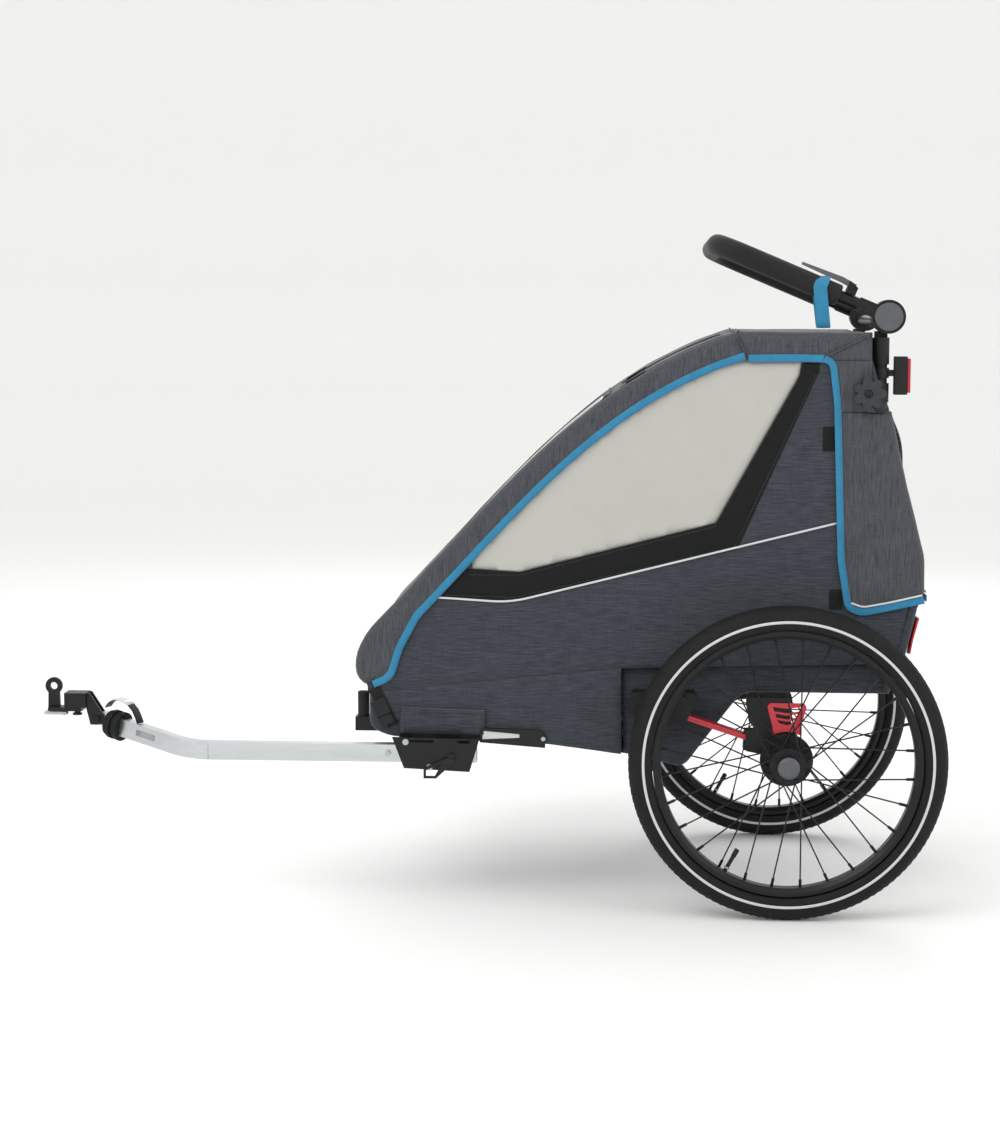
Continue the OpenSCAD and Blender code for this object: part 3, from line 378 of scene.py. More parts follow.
def finish_cloth(piece, thick_mm, ripple_mm=0.0, ripple_size=60.0):
    """Joins a cloth piece's seams, gives it a slack surface and its thickness, and faces it outwards."""
    work = bmesh.new()
    work.from_mesh(piece.data)
    bmesh.ops.remove_doubles(work, verts=work.verts, dist=2e-5)
    loose = [v for v in work.verts if not v.link_faces]
    bmesh.ops.delete(work, geom=loose, context="VERTS")
    bmesh.ops.recalc_face_normals(work, faces=work.faces)
    work.normal_update()
    centre = spot(-250, 0, 330)
    facing = sum((f.calc_center_median() - centre).dot(f.normal) * f.calc_area() for f in work.faces)
    if facing < 0:
        bmesh.ops.reverse_faces(work, faces=work.faces)
        work.normal_update()
    if ripple_mm:
        for v in work.verts:
            slow = noise.noise(v.co * (1000 / ripple_size))
            quick = noise.noise(v.co * (2700 / ripple_size) + Vector((7, 3, 1)))
            v.co += v.normal * (slow + 0.35 * quick) * ripple_mm / 1000
    work.to_mesh(piece.data)
    work.free()
    layer = piece.modifiers.new("cloth_thickness", "SOLIDIFY")
    layer.thickness = thick_mm / 1000
    layer.offset = -1.0
    piece.data.shade_smooth()
    return piece


def profile_across(half_width, corner, sag, steps=40):
    """Places across the body and depths below its edge line, over one rounded side to the other."""
    across = [(half_width - corner + corner * math.sin(a), corner * (1 - math.cos(a)))
              for a in (math.radians(step) for step in range(90, 0, -18))]
    flat = [(half_width - corner) * (1 - 2 * i / steps) for i in range(steps + 1)]
    across += [(y, sag * (1 - (y / (half_width - corner)) ** 2)) for y in flat]
    return across + [(-y, depth) for y, depth in reversed(across[:5])]


def sewn_shell(name, edge, half_width, corner, side_line, finish, sag=0.0, pitch=11.0, thick=1.4, ripple=0.8):
    """Cloth that runs across the body along an edge line and turns down its sides to the side line."""
    edge = spaced(edge, pitch)
    across = profile_across(half_width, corner, sag)
    lines = [[spot(p[0], y, p[1]) for p in moved_in(edge, depth)] for y, depth in across]
    points = [p for line in lines for p in line]
    faces = sheet_faces(len(lines), len(edge))
    side_outline = moved_in(edge, corner) + side_line
    flat_points, flat_faces = cut_cloth(side_outline, pitch)
    for sign in (-1, 1):
        first = len(points)
        points += [spot(x, sign * half_width, z) for x, z in flat_points]
        faces += [tuple(first + i for i in f) for f in flat_faces]
    return finish_cloth(piece_of(name, points, faces, finish), thick, ripple)


def woven(name, light, dark, thread_mm, slub, roughness=0.86, upright=False):
    """Plain-woven cloth from a dark and a light yarn, mottled along the threads as melange yarn is."""
    material, shader = finish_of(name, light, roughness, ior=1.46, Sheen_Weight=0.18, Sheen_Roughness=0.5,
                                 Specular_IOR_Level=0.25)
    place = add(material, "TexCoord")
    heights = []
    level, plumb = (0.05, 1, 1), (1, 1, 0.05)
    for scale in ((plumb, level) if upright else (level, plumb)) + ((0.35, 0.35, 0.35),):
        mapping = add(material, "Mapping", {"Scale": scale}, {"Vector": place.outputs["Object"]})
        yarn = add(material, "TexNoise", {"Scale": 1000 / thread_mm, "Detail": 2.0},
                   {"Vector": mapping.outputs[0]})
        heights.append(yarn.outputs[0])
    weft = add(material, "Math", {1: 1.25, 2: 0.1}, {0: heights[0]}, operation="MULTIPLY_ADD")
    warp_and_weft = add(material, "Math", {1: 0.35}, {0: heights[1], 2: weft.outputs[0]},
                        operation="MULTIPLY_ADD")
    cloudy = add(material, "Math", {1: 0.2}, {0: heights[2], 2: warp_and_weft.outputs[0]},
                 operation="MULTIPLY_ADD")
    amount = add(material, "MapRange", {"From Min": 1.0 - slub, "From Max": 1.0 + slub},
                 {"Value": cloudy.outputs[0]})
    mix = add(material, "Mix", {6: colour(dark), 7: colour(light)}, {0: amount.outputs[0]},
              data_type="RGBA")
    bump = add(material, "Bump", {"Strength": 0.5, "Distance": 0.00025},
               {"Height": warp_and_weft.outputs[0]})
    material.node_tree.links.new(mix.outputs[2], shader.inputs["Base Color"])
    material.node_tree.links.new(bump.outputs[0], shader.inputs["Normal"])
    return material


# Melange polyester of the body: blue-grey, the threads drawn 1.3 mm wide so that they show.
body_cloth = woven("polyester_melange_blue_grey", "#40444b", "#2b2f35", 1.3, 0.24)
FLOOR_LINE = eased([(-667, 95), (-667, 37), (-637, 23), (-488, 16), (-383, 13), (-262, -2), (-244, -5),
                    (-162, -25), (-70, 98), (160, 98)], 16)
STEP_FOOT, STEP_TOP = (-262, -2), (-262, 138)
BODY_Y, TUB_Y, COVER_Y = 235.0, 221.5, 238.5
# The front half is as wide as the side panels; behind the step the tub is narrower, to clear the suspension.
front_line = [STEP_FOOT] + [p for p in reversed(FLOOR_LINE) if p[0] < STEP_FOOT[0]]
footwell = sewn_shell("tub_footwell", front_line, BODY_Y, 9, [(-667, 95), STEP_TOP], body_cloth, ripple=0.7)
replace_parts(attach(footwell, "chassis"), "lower_body")
rear_line = [p for p in reversed(FLOOR_LINE) if p[0] > STEP_FOOT[0]] + [STEP_FOOT]
tub = sewn_shell("tub_rear", rear_line, TUB_Y, 9, [STEP_TOP, (160, 149)], body_cloth, ripple=0.7)
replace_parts(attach(tub, "chassis"), "lower_body")

# Side panels: the same cloth as the tub, each with a welded film window in a black surround and a piping line
# sewn across it.
NOSE_TOP, BROW = (-653, 213), (-84, 673)
NOSE_CURVE = bezier((-667, 105), (-705, 115), (-695, 171), NOSE_TOP, 10)
HOOD_CURVE = bezier(NOSE_TOP, (-483, 383), (-336, 594), BROW, 44)
COVER_CURVE = NOSE_CURVE + HOOD_CURVE[1:]


def crumples(piece):
    """Rides on the chassis, with a mesh of its own."""
    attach(piece, "chassis")
    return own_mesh(piece)


def side_sheet(name, outline, y, finish, hole=None, pitch=11.0, thick=1.4, ripple=0.8):
    """A flat-cut cloth piece on one side of the body."""
    points, faces = cut_cloth(outline, pitch, hole)
    return finish_cloth(piece_of(name, [spot(x, y, z) for x, z in points], faces, finish), thick, ripple)


def swept(path, section, up):
    """Points and faces of a section of (sideways, up) in mm, carried along a path of points in metres."""
    points = []
    up = Vector(up)
    for i, p in enumerate(path):
        along = (path[min(len(path) - 1, i + 1)] - path[max(0, i - 1)]).normalized()
        above = (up - up.dot(along) * along).normalized()
        beside = along.cross(above)
        points += [p + (beside * s + above * t) / 1000 for s, t in section]
    size = len(section)
    last = (len(path) - 1) * size
    ends = [tuple(range(size - 1, -1, -1)), tuple(range(last, last + size))]
    return points, tube_faces(len(path), size, closed=False) + ends


def stitched(name, line, out, finish, gauge=0.38):
    """A row of thread stitches, one between each two places of a line in metres, standing out a little."""
    points, faces = [], []
    section = [(gauge, 0), (0, gauge), (-gauge, 0), (0, -gauge)]
    lift = Vector(out) * 0.00035
    for a, b in zip(line, line[1:]):
        first = len(points)
        more, sides = swept([a.lerp(b, 0.08), a.lerp(b, 0.4) + lift, a.lerp(b, 0.75)], section, out)
        points += more
        faces += [tuple(first + i for i in face) for face in sides]
    return piece_of(name, points, faces, finish)


def tape_section(width, thick, count=12):
    """A flat, softly rounded section for tapes and webbing, its back on zero."""
    turns = [2 * math.pi * i / count for i in range(count)]
    return [(width / 2 * math.copysign(abs(math.cos(a)) ** 0.45, math.cos(a)),
             thick / 2 + thick / 2 * math.copysign(abs(math.sin(a)) ** 0.7, math.sin(a))) for a in turns]


def side_line(route, y, pitch, radius=0):
    """Places on one side of the body, along a route of (x, z) in mm whose corners may be rounded."""
    return [spot(x, y, z) for x, z in spaced(eased(route, radius) if radius else route, pitch)]


def tape(name, line, width, thick, out, finish, count=12):
    """A tape along a line in metres, its face turned outwards."""
    return piece_of(name, *swept(line, tape_section(width, thick, count), out), finish)


# Black plain-weave surround: matt and darker than the body.
black_cloth = woven("polyester_black_plain_weave", "#0e0f11", "#08090a", 1.4, 0.3, 0.8)
# Bonded nylon thread, black, and the same in the blue of the binding.
black_thread, _ = finish_of("nylon_thread_black", "#26282b", 0.55, Sheen_Weight=0.2)
blue_thread, _ = finish_of("nylon_thread_blue", "#146a92", 0.5, Sheen_Weight=0.2)
grey_thread, _ = finish_of("nylon_thread_grey", "#33363a", 0.55, Sheen_Weight=0.2)
# Clear PVC film gone milky: warm light grey, glossy and a little see-through.
film = grained("pvc_film_milky", "#b4b3ad", 0.3, 30, 0.02, "#abaaa4", 0.5,
               ior=1.45, Alpha=0.95, Coat_Weight=0.05)
WINDOW = moved_in(HOOD_CURVE, 36)[11:43]
WINDOW += [(-40, 632), (19, 632), (16, 604), (-112, 370), (-424, 290), (-500, 293)]
PANEL = [(-666, 95.2)] + moved_in(COVER_CURVE, 7)[1:]
PANEL += [(116, 666), (152, 545), (176, 439), (208, 317), (208, 255), (191, 243), (174, 167), (160, 149.5),
          (-262, 138.2)]
SURROUND = [(-560, 249), (-552, 249), (-432, 246), (-80, 330), (45, 612), (45, 632), (19, 632), (14, 604),
            (-114, 372), (-424, 292), (-512, 297), (-530, 306), (-590, 262)]
for side, sign in SIDES:
    panel = side_sheet(f"side_panel_{side}", PANEL, sign * BODY_Y, body_cloth, WINDOW, ripple=0.7)
    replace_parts(crumples(panel), "side_panels")
    pane = side_sheet(f"side_window_{side}", WINDOW, sign * (BODY_Y - 1.4), film, pitch=14, thick=0.5,
                      ripple=0.35)
    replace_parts(crumples(pane), "side_windows")
    crumples(side_sheet(f"window_surround_{side}", SURROUND, sign * (BODY_Y + 0.9), black_cloth, pitch=10,
                        thick=1.2, ripple=0.6))
    line = side_line([(-580, 250), (-552, 250), (-440, 243), (76, 373)], sign * (BODY_Y + 0.6), 12, 30)
    # Piping: a 3 mm bead of reflective tape along the lower edge of the surround and on to the pillar.
    crumples(tape(f"piping_{side}", line, 3.4, 2.2, (0, sign, 0), reflective))
    # Small tabs of black tape that stick out from under the cover's binding.
    for high, low, left, right in ((525, 486, 52, 72), (268, 236, 66, 86)):
        corners = [(left, low), (right, low), (right, high), (left, high)]
        crumples(side_sheet(f"pillar_tab_{high}_{side}", corners, sign * (BODY_Y + 1.4), black_cloth, pitch=8,
                            thick=1.2, ripple=0.2))
    # Top-stitching along both edges of the surround.
    for row, route in enumerate(([(-506, 287), (-424, 287), (-116, 366), (10, 594)],
                                 [(-546, 254), (-432, 251), (-84, 335), (40, 608)])):
        line = side_line(route, sign * (BODY_Y + 1.7), STITCH, 6)
        crumples(stitched(f"surround_stitches_{row}_{side}", line, (0, sign, 0), black_thread))

# Front cover: the cloth from brow to nose that rolls up, with a strip down each side bound in blue tape.
# Melange polyester of the cover: neutral grey, lighter than the body.
cover_cloth = woven("polyester_melange_grey", "#4e5055", "#36383c", 1.3, 0.24, upright=True)
# Blue polyester binding: ribbed across, slightly glossy.
blue_tape = grained("polyester_blue_binding", "#1878a0", 0.62, 1.0, 0.15, "#125f80", 0.55,
                    ior=1.46, Sheen_Weight=0.3)
STRIP = 45
strip_line = list(reversed(moved_in(HOOD_CURVE, STRIP)[3:])) + [(-617, 168), (-628, 122)]


def folds_in(piece, body):
    """Rides on a hoop's body, with a mesh of its own."""
    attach(piece, body)
    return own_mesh(piece)


FRONT_SAG = 5
front = sewn_shell("front_cover_cloth", COVER_CURVE, COVER_Y, 13, strip_line, cover_cloth, sag=FRONT_SAG,
                   ripple=1.0)
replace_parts(folds_in(front, "front_cover"), "front_cover")
for side, sign in SIDES:
    route = [(-660, 109), (-632, 121), (-619, 166)] + moved_in(HOOD_CURVE, STRIP - 5)[3:]
    line = side_line(route, sign * (COVER_Y - 0.6), 8, 14)
    binding = tape(f"front_binding_{side}", line, 12, 2.6, (0, sign, 0), blue_tape)
    folds_in(binding, "front_cover")
    line = side_line(moved_in(eased(route, 14), 4), sign * (COVER_Y + 1.95), STITCH)
    folds_in(stitched(f"front_binding_stitches_{side}", line, (0, sign, 0), blue_thread), "front_cover")


def on_front(along, y, lift):
    """A place on the front cover: an index along the hood curve, across in mm, and lifted off the cloth."""
    below, part = int(along), along - int(along)
    line = moved_in(HOOD_CURVE, FRONT_SAG * (1 - (y / (COVER_Y - 13)) ** 2) - lift)
    a, b = line[below], line[min(len(line) - 1, below + 1)]
    return spot(a[0] + (b[0] - a[0]) * part, y, a[1] + (b[1] - a[1]) * part)


def on_front_tape(name, places, width, thick, finish, lift=0.9):
    """Tape laid on the front cover along (index, across) places."""
    line = [on_front(along, y, lift) for along, y in places]
    return folds_in(tape(name, line, width, thick, (-0.7, 0, 0.7), finish), "front_cover")


# A film window lets the child look ahead. It is framed in black, and two straps above it tie the cover up.
LOW_ROW, HIGH_ROW, PANE_HALF = 7, 30, 168
WINDOW_ROWS = range(LOW_ROW, HIGH_ROW + 1)
points = [on_front(i, y, 0.6) for i in WINDOW_ROWS for y in np.linspace(-PANE_HALF, PANE_HALF, 25)]
pane = finish_cloth(piece_of("front_window", points, sheet_faces(len(WINDOW_ROWS), 25), film), 0.4, 0.25)
pane.location += Vector((-0.0006, 0, 0.0006))
folds_in(pane, "front_cover")
for side, sign in SIDES:
    on_front_tape(f"front_frame_{side}", [(i, sign * PANE_HALF) for i in WINDOW_ROWS], 24, 1.6, black_cloth)
    tie = [(i, sign * 120) for i in np.linspace(HIGH_ROW + 2, 43, 16)]
    on_front_tape(f"cover_tie_{side}", tie, 20, 1.6, black_cloth)
    on_front_tape(f"tie_buckle_{side}", tie[1:5], 26, 3.4, nylon, 1.2)
for part, row in (("low", LOW_ROW), ("high", HIGH_ROW)):
    across = np.linspace(-PANE_HALF - 11, PANE_HALF + 11, 40)
    on_front_tape(f"front_frame_{part}", [(row, y) for y in across], 24, 1.6, black_cloth)
# The nose edge is bound in black where it meets the footwell's front wall.
hem = [spot(-668 - 2 * (1 - (y / 226) ** 2), y, 102) for y in np.linspace(-226, 226, 40)]
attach(tape("nose_hem", hem, 26, 2.4, (-1, 0, 0), black_cloth), "chassis")

# Roof cover: the cloth over the hoop, seamed to the front cover at the brow and mitred at its rear corners.
roof_edge = [(-82.5, 673), (126, 672)]
roof = sewn_shell("roof_cover_cloth", roof_edge, COVER_Y, 13, [(126, 628), (-70, 628)], cover_cloth, sag=4,
                  ripple=1.0)
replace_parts(folds_in(roof, "roof_hoop"), "roof_cover")
for side, sign in SIDES:
    line = side_line([(-66, 631), (0, 632), (52, 631)], sign * (COVER_Y - 0.6), 8)
    folds_in(tape(f"roof_binding_{side}", line, 12, 2.6, (0, sign, 0), blue_tape), "roof_hoop")
    # Mitred seam from the binding's corner up to the roof's rear corner, and the fold of the brow seam.
    for seam, route in (("mitre", [(58, 636), (122, 668)]), ("brow", [(-70, 634), (-82, 664)])):
        line = side_line(route, sign * (COVER_Y + 0.3), 6)
        folds_in(tape(f"{seam}_seam_{side}", line, 2.6, 1.2, (0, sign, 0), cover_cloth, 8), "roof_hoop")
        for shift in (-4.5, 4.5):
            line = side_line(moved_in(route, shift), sign * (COVER_Y + 0.75), STITCH)
            name = f"{seam}_stitches_{'left' if shift < 0 else 'right'}_{side}"
            folds_in(stitched(name, line, (0, sign, 0), grey_thread), "roof_hoop")
# The brow seam across the roof: a welted ridge between two rows of stitches.
for name, x in (("brow_welt", -81), ("brow_stitches_ahead", -75.5), ("brow_stitches_back", -70)):
    line = [spot(x, y, 673.6 - depth) for y, depth in profile_across(COVER_Y + 0.3, 13, 4, 110)[4:-4]]
    if name == "brow_welt":
        folds_in(tape(name, line, 3, 1.6, (0, 0, 1), cover_cloth, 8), "roof_hoop")
    else:
        folds_in(stitched(name, line, (0, 0, 1), grey_thread), "roof_hoop")

# Rear cover: the cloth behind the luggage space, lapped round onto the sides and bound in blue.
REAR_EDGE = eased([(122, 669), (160, 545), (184, 439), (216, 317), (216, 255), (199, 243), (182, 167),
                   (168, 116), (164, 105)], 12)
LOWEST_POST = 548
rear_part = [(159, LOWEST_POST)] + [p for p in REAR_EDGE if 246 < p[1] < 530]
rear_side = [(205, 250), (114, 226), (91, 236), (79, 315), (70.5, LOWEST_POST)]
rear = sewn_shell("rear_cover_cloth", rear_part, COVER_Y, 16, rear_side, cover_cloth, sag=4, ripple=1.1)
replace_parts(crumples(rear), "rear_cover")
# Above, the cloth is narrower and tucks in ahead of the posts, which stand outside it.
POST_IN, POST_AHEAD = 184, 126
levels = np.linspace(LOWEST_POST, 671, 14)
points = []
for z in levels:
    back = max(POST_AHEAD, 122 + (669 - z) * 38 / 121)
    reach = [(y, back - 4 * (1 - (y / POST_IN) ** 2)) for y in np.linspace(-POST_IN, POST_IN, 31)]
    edge_out = [(y, POST_AHEAD) for y in np.linspace(POST_IN, COVER_Y, 6)]
    row = [(-y, x) for y, x in reversed(edge_out)] + reach + edge_out
    points += [spot(x, y, z) for y, x in row]
faces = sheet_faces(len(levels), len(row))
upper = crumples(finish_cloth(piece_of("rear_cover_upper", points, faces, cover_cloth), 1.4, 0.8))
for side, sign in SIDES:
    corner = side_sheet(f"rear_corner_{side}", [(70.5, LOWEST_POST), (64, 627.5), (126, 627.5), (126, 566),
                                                (132, LOWEST_POST)], sign * COVER_Y, cover_cloth, ripple=1.1)
    crumples(corner)
    ledge = [spot(x, sign * y, z) for x, y, z in ((124, 183, 549), (162, 183, 547), (160, 222, 547),
                                                  (146, 238, 547), (124, 238, 549))]
    crumples(finish_cloth(piece_of(f"post_ledge_{side}", ledge, [(0, 1, 2, 3, 4)], cover_cloth), 1.4))
# Below the cover, the body's own cloth closes the back down to the floor.
LOW_EDGE = [(214, 256), (205, 240), (188, 165), (169, 116), (162, 100)]
low_side = [(154, 102), (156, 150), (174, 168), (192, 241), (204, 256)]
low_back = sewn_shell("rear_low_cloth", LOW_EDGE, BODY_Y + 0.6, 8, low_side, body_cloth, ripple=0.6)
crumples(low_back)
for side, sign in SIDES:
    route = [(52, 631), (66, 624), (74, 560), (83, 315), (95, 240), (116, 231), (160, 240), (214, 252)]
    line = side_line(route, sign * (COVER_Y - 0.6), 8, 12)
    crumples(tape(f"rear_binding_{side}", line, 11, 2.6, (0, sign, 0), blue_tape))
    line = side_line(moved_in(eased(route, 12), -3.5), sign * (COVER_Y + 1.95), STITCH)
    crumples(stitched(f"rear_binding_stitches_{side}", line, (0, sign, 0), blue_thread))
    # A thin reflective line sewn in just above the binding's lower edge.
    line = side_line([(100, 247), (118, 240), (160, 248), (211, 260)], sign * (COVER_Y + 0.9), 8, 8)
    crumples(tape(f"rear_reflex_{side}", line, 3.2, 1.4, (0, sign, 0), reflective))
# The binding runs on across the back, with the reflective line above it.
for name, x, z, width, thick, finish in (("rear_binding_back", 217, 254, 11, 2.6, blue_tape),
                                         ("rear_reflex_back", 217.5, 264, 3.2, 1.4, reflective)):
    line = [spot(x - 3 * (1 - (y / 226) ** 2), y, z) for y in np.linspace(-228, 228, 60)]
    crumples(tape(name, line, width, thick, (1, 0, 0), finish))

# Cushions: foam in a knitted cover, swelled by a cloth simulation, with a sewn channel across.


def stuffed(name, low, high, finish, voxel=0.006, cap=0.008, tilt=0.0, pivot=(0, 0, 0)):
    """A padded block between two corners in mm, swollen by a cloth simulation and turned about Y."""
    work = bmesh.new()
    bmesh.ops.create_cube(work, size=1.0)
    middle = [(a + b) / 2 for a, b in zip(low, high)]
    for v in work.verts:
        v.co = [(v.co[k] * (high[k] - low[k]) + middle[k]) / 1000 for k in range(3)]
    bmesh.ops.bevel(work, geom=work.edges[:], offset=0.011, segments=3, affect="EDGES", profile=0.6)
    mesh = bpy.data.meshes.new(name)
    work.to_mesh(mesh)
    work.free()
    mesh.materials.append(finish)
    pad = bpy.data.objects.new(name, mesh)
    bpy.context.scene.collection.objects.link(pad)
    bpy.context.view_layer.objects.active = pad
    remesh = pad.modifiers.new("voxels", "REMESH")
    remesh.mode = "VOXEL"
    remesh.voxel_size = voxel
    with bpy.context.temp_override(object=pad, active_object=pad, selected_objects=[pad]):
        bpy.ops.object.modifier_apply(modifier="voxels")
    before = np.array([v.co for v in pad.data.vertices], float)
    cloth = pad.modifiers.new("swelling", "CLOTH")
    cloth.settings.use_pressure = True
    cloth.settings.uniform_pressure_force = 4.0
    cloth.settings.effector_weights.gravity = 0.0
    cloth.point_cache.frame_end = 20
    for step in range(1, 21):
        bpy.context.scene.frame_set(step)
    evaluated = pad.evaluated_get(bpy.context.evaluated_depsgraph_get())
    after = np.array([v.co for v in evaluated.data.vertices], float)
    pad.modifiers.remove(cloth)
    bpy.context.scene.frame_set(1)
    shift = after - before
    length = np.linalg.norm(shift, axis=1, keepdims=True)
    before = before + shift * np.minimum(1.0, cap / np.maximum(length, 1e-9))
    for v, p in zip(pad.data.vertices, before):
        v.co = p
    smooth = pad.modifiers.new("subdivision", "SUBSURF")
    smooth.levels = smooth.render_levels = 1
    pad.data.shade_smooth()
    turn, centre = math.radians(tilt), Vector(pivot) / 1000
    for v in pad.data.vertices:
        off = v.co - centre
        v.co = centre + Vector((off.x * math.cos(turn) + off.z * math.sin(turn), off.y,
                                -off.x * math.sin(turn) + off.z * math.cos(turn)))
        v.co += Vector((axle.x, 0, axle.z))
    return pad


def sew_channel(pad, at, along, depth_mm, half_mm=9):
    """Presses a sewn channel into a pad: a groove where along reaches at, both in the row frame's metres."""
    for v in pad.data.vertices:
        off = (v.co.dot(along) - at) * 1000 / half_mm
        v.co -= v.normal * depth_mm / 1000 * math.exp(-off * off)


lining = woven("polyester_knit_dark_grey", "#3b3e43", "#2a2c30", 1.2, 0.25, 0.9)
seat = stuffed("seat_pad", (-369, -154, 134), (-101, 154, 161), lining, cap=0.006)
for at in (-0.30, -0.20):
    sew_channel(seat, axle.x + at + 0.02, Vector((1, 0, 0)), 3.0)
for at in (-0.05, 0.05):
    sew_channel(seat, at, Vector((0, 1, 0)), 2.0)
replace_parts(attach(seat, "chassis"), "seat_cushion")
lean = math.degrees(math.atan2(142, 392))
back = stuffed("back_pad", (-84, -154, 176), (-68, 154, 576), lining, cap=0.006, tilt=lean,
               pivot=(-90, 0, 168))
for at in (-0.052, 0.052):
    sew_channel(back, at, Vector((0, 1, 0)), 2.5)
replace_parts(crumples(back), "backrest")

# Harness: polyester webbing from slots in the backrest and the seat to a moulded buckle with a red button.
WEB = 14
webbing = woven("polyester_webbing_black", "#1d1e20", "#101113", 1.1, 0.3, 0.75)
dress("harness_buckle", nylon, 2.0)
dress("harness_button", red_coat, 0.8)
lean_up = Vector((142, 0, 392)).normalized()
lean_out = Vector((-392, 0, 142)).normalized()
back_foot = Vector((-90, 0, 168))
for side, sign in SIDES:
    down = [back_foot + lean_up * u + lean_out * v
            for u, v in ((330, -2), (322, 9), (260, 10), (150, 10), (70, 11))]
    path = [Vector((p.x, sign * 62, p.z)) for p in down]
    path += [Vector((-122, sign * 48, 184)), Vector((-160, sign * 26, 186)), Vector((-176, sign * 16, 183))]
    smooth = [Vector(p) for p in spaced([tuple(p) for p in path], 12)]
    for _ in range(4):
        inner = [(a + 2 * b + c) / 4 for a, b, c in zip(smooth, smooth[1:], smooth[2:])]
        smooth = [smooth[0]] + inner + [smooth[-1]]
    line = [spot(*p) for p in smooth]
    crumples(tape(f"shoulder_strap_{side}", line, 25, 1.8, lean_out, webbing, WEB))
    foot = Vector((0, sign * 62, 0)) + back_foot + lean_out * 13
    line = [spot(*(foot + lean_up * u)) for u in range(120, 261, 10)]
    pad = tape(f"shoulder_pad_{side}", line, 44, 9, lean_out, lining, 20)
    crumples(pad)
    hip = [Vector((-108, sign * 132, 168)), Vector((-122, sign * 110, 172)), Vector((-150, sign * 60, 175)),
           Vector((-176, sign * 22, 179))]
    line = [spot(*p) for p in spaced([tuple(p) for p in hip], 12)]
    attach(tape(f"hip_strap_{side}", line, 25, 1.8, (0, 0, 1), webbing, WEB), "chassis")
line = [spot(*p) for p in spaced([(-262, 0, 166), (-240, 0, 171), (-200, 0, 175)], 8)]
crotch = tape("crotch_strap", line, 24, 1.8, (0, 0, 1), webbing, WEB)
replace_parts(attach(crotch, "chassis"), "harness_straps")

# A patch of the body's cloth is sewn over the bracket's inner plate, on the drawbar's side.
PATCH = [(-616, 31), (-613, 72), (-480, 68), (-482, 29)]
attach(side_sheet("bracket_patch", PATCH, -(BODY_Y + 7.4), body_cloth, pitch=9, ripple=0.5), "chassis")
line = side_line([(-612, 34), (-609, 68), (-484, 64), (-486, 33)], -(BODY_Y + 7.7), STITCH)
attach(stitched("patch_stitches", line, (0, -1, 0), grey_thread), "chassis")
edge_section = [(-3.7, -1.4), (3.7, -1.4), (3.7, 0), (-3.7, 0)]
patch_edge = swept(side_line(PATCH, -(BODY_Y + 3.7), 6), edge_section, (0.3, 0, 1))
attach(piece_of("patch_edge", *patch_edge, body_cloth), "chassis")

# Cover corners: webbing sewn under the nose with a side-release buckle of black acetal on each side.
for side, sign in SIDES:
    line = side_line([(-660, 104), (-652, 90), (-628, 42)], sign * (BODY_Y + 0.6), 8)
    strap = tape(f"corner_strap_{side}", line, 20, 1.6, (0, sign, 0), webbing, WEB)
    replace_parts(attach(strap, "chassis"), "cover_buckles")
    along = Vector((16, 0, -36)).normalized()
    for part, low, high, wide, thick in (("socket", 0, 27, 26, 6.4), ("plug", 27.6, 44, 23, 5.4)):
        shape = [Vector((-653.5, 0, 84)) + along * u
                 for u in (low, low + 1.5, (low + high) / 2, high - 1.5, high)]
        line = [spot(p.x, sign * (BODY_Y + 1.8), p.z) for p in shape]
        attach(tape(f"buckle_{part}_{side}", line, wide, thick, (0, sign, 0), nylon, 20), "chassis")

# Rear reflectors and the mesh pocket: a red prismatic strip on each rear corner, and an elasticated net.
red_lens = grained("acrylic_red_prismatic", "#b5121b", 0.12, 2.2, 0.25, "#8d0c14", 0.4,
                   ior=1.49, Coat_Weight=0.5)
for side, sign in SIDES:
    line = [spot(x, sign * 188, z) for x, z in ((205, 220), (201, 205), (196, 185), (192, 163))]
    strip = tape(f"rear_reflector_strip_{side}", line, 46, 7, (1, 0, -0.2), red_lens, 20)
    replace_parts(crumples(strip), "rear_reflectors")
pocket_points = []
ROWS, COLUMNS = 12, 40
for i in range(ROWS + 1):
    for j in range(COLUMNS + 1):
        u, v = i / ROWS, 2 * j / COLUMNS - 1
        belly = math.sin(math.pi * min(1.0, 0.15 + 0.85 * u)) ** 0.7 * (1 - v ** 4)
        x = 167 + 20 * u + 14 * belly
        pocket_points.append(spot(x, 150 * v, 533 - 84 * u - 5 * (1 - v * v) * (1 - u)))
pocket = piece_of("net_pocket", pocket_points, sheet_faces(ROWS + 1, COLUMNS + 1), webbing)
threads = pocket.modifiers.new("threads", "WIREFRAME")
threads.thickness = 0.0016
threads.use_even_offset = False
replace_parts(crumples(pocket), "mesh_pocket")
hem = [spot(167.5, 150 * v, 533 - 5 * (1 - v * v)) for v in np.linspace(-1, 1, 30)]
crumples(tape("pocket_hem", hem, 14, 2.2, (1, 0, 0.3), webbing))

# Rear hoop fittings: hinge discs, knob brackets, the rear light on its clamp, and the star knobs.
for node in ("hinge_discs", "knob_brackets", "rear_light"):
    dress(node, nylon, 1.0)
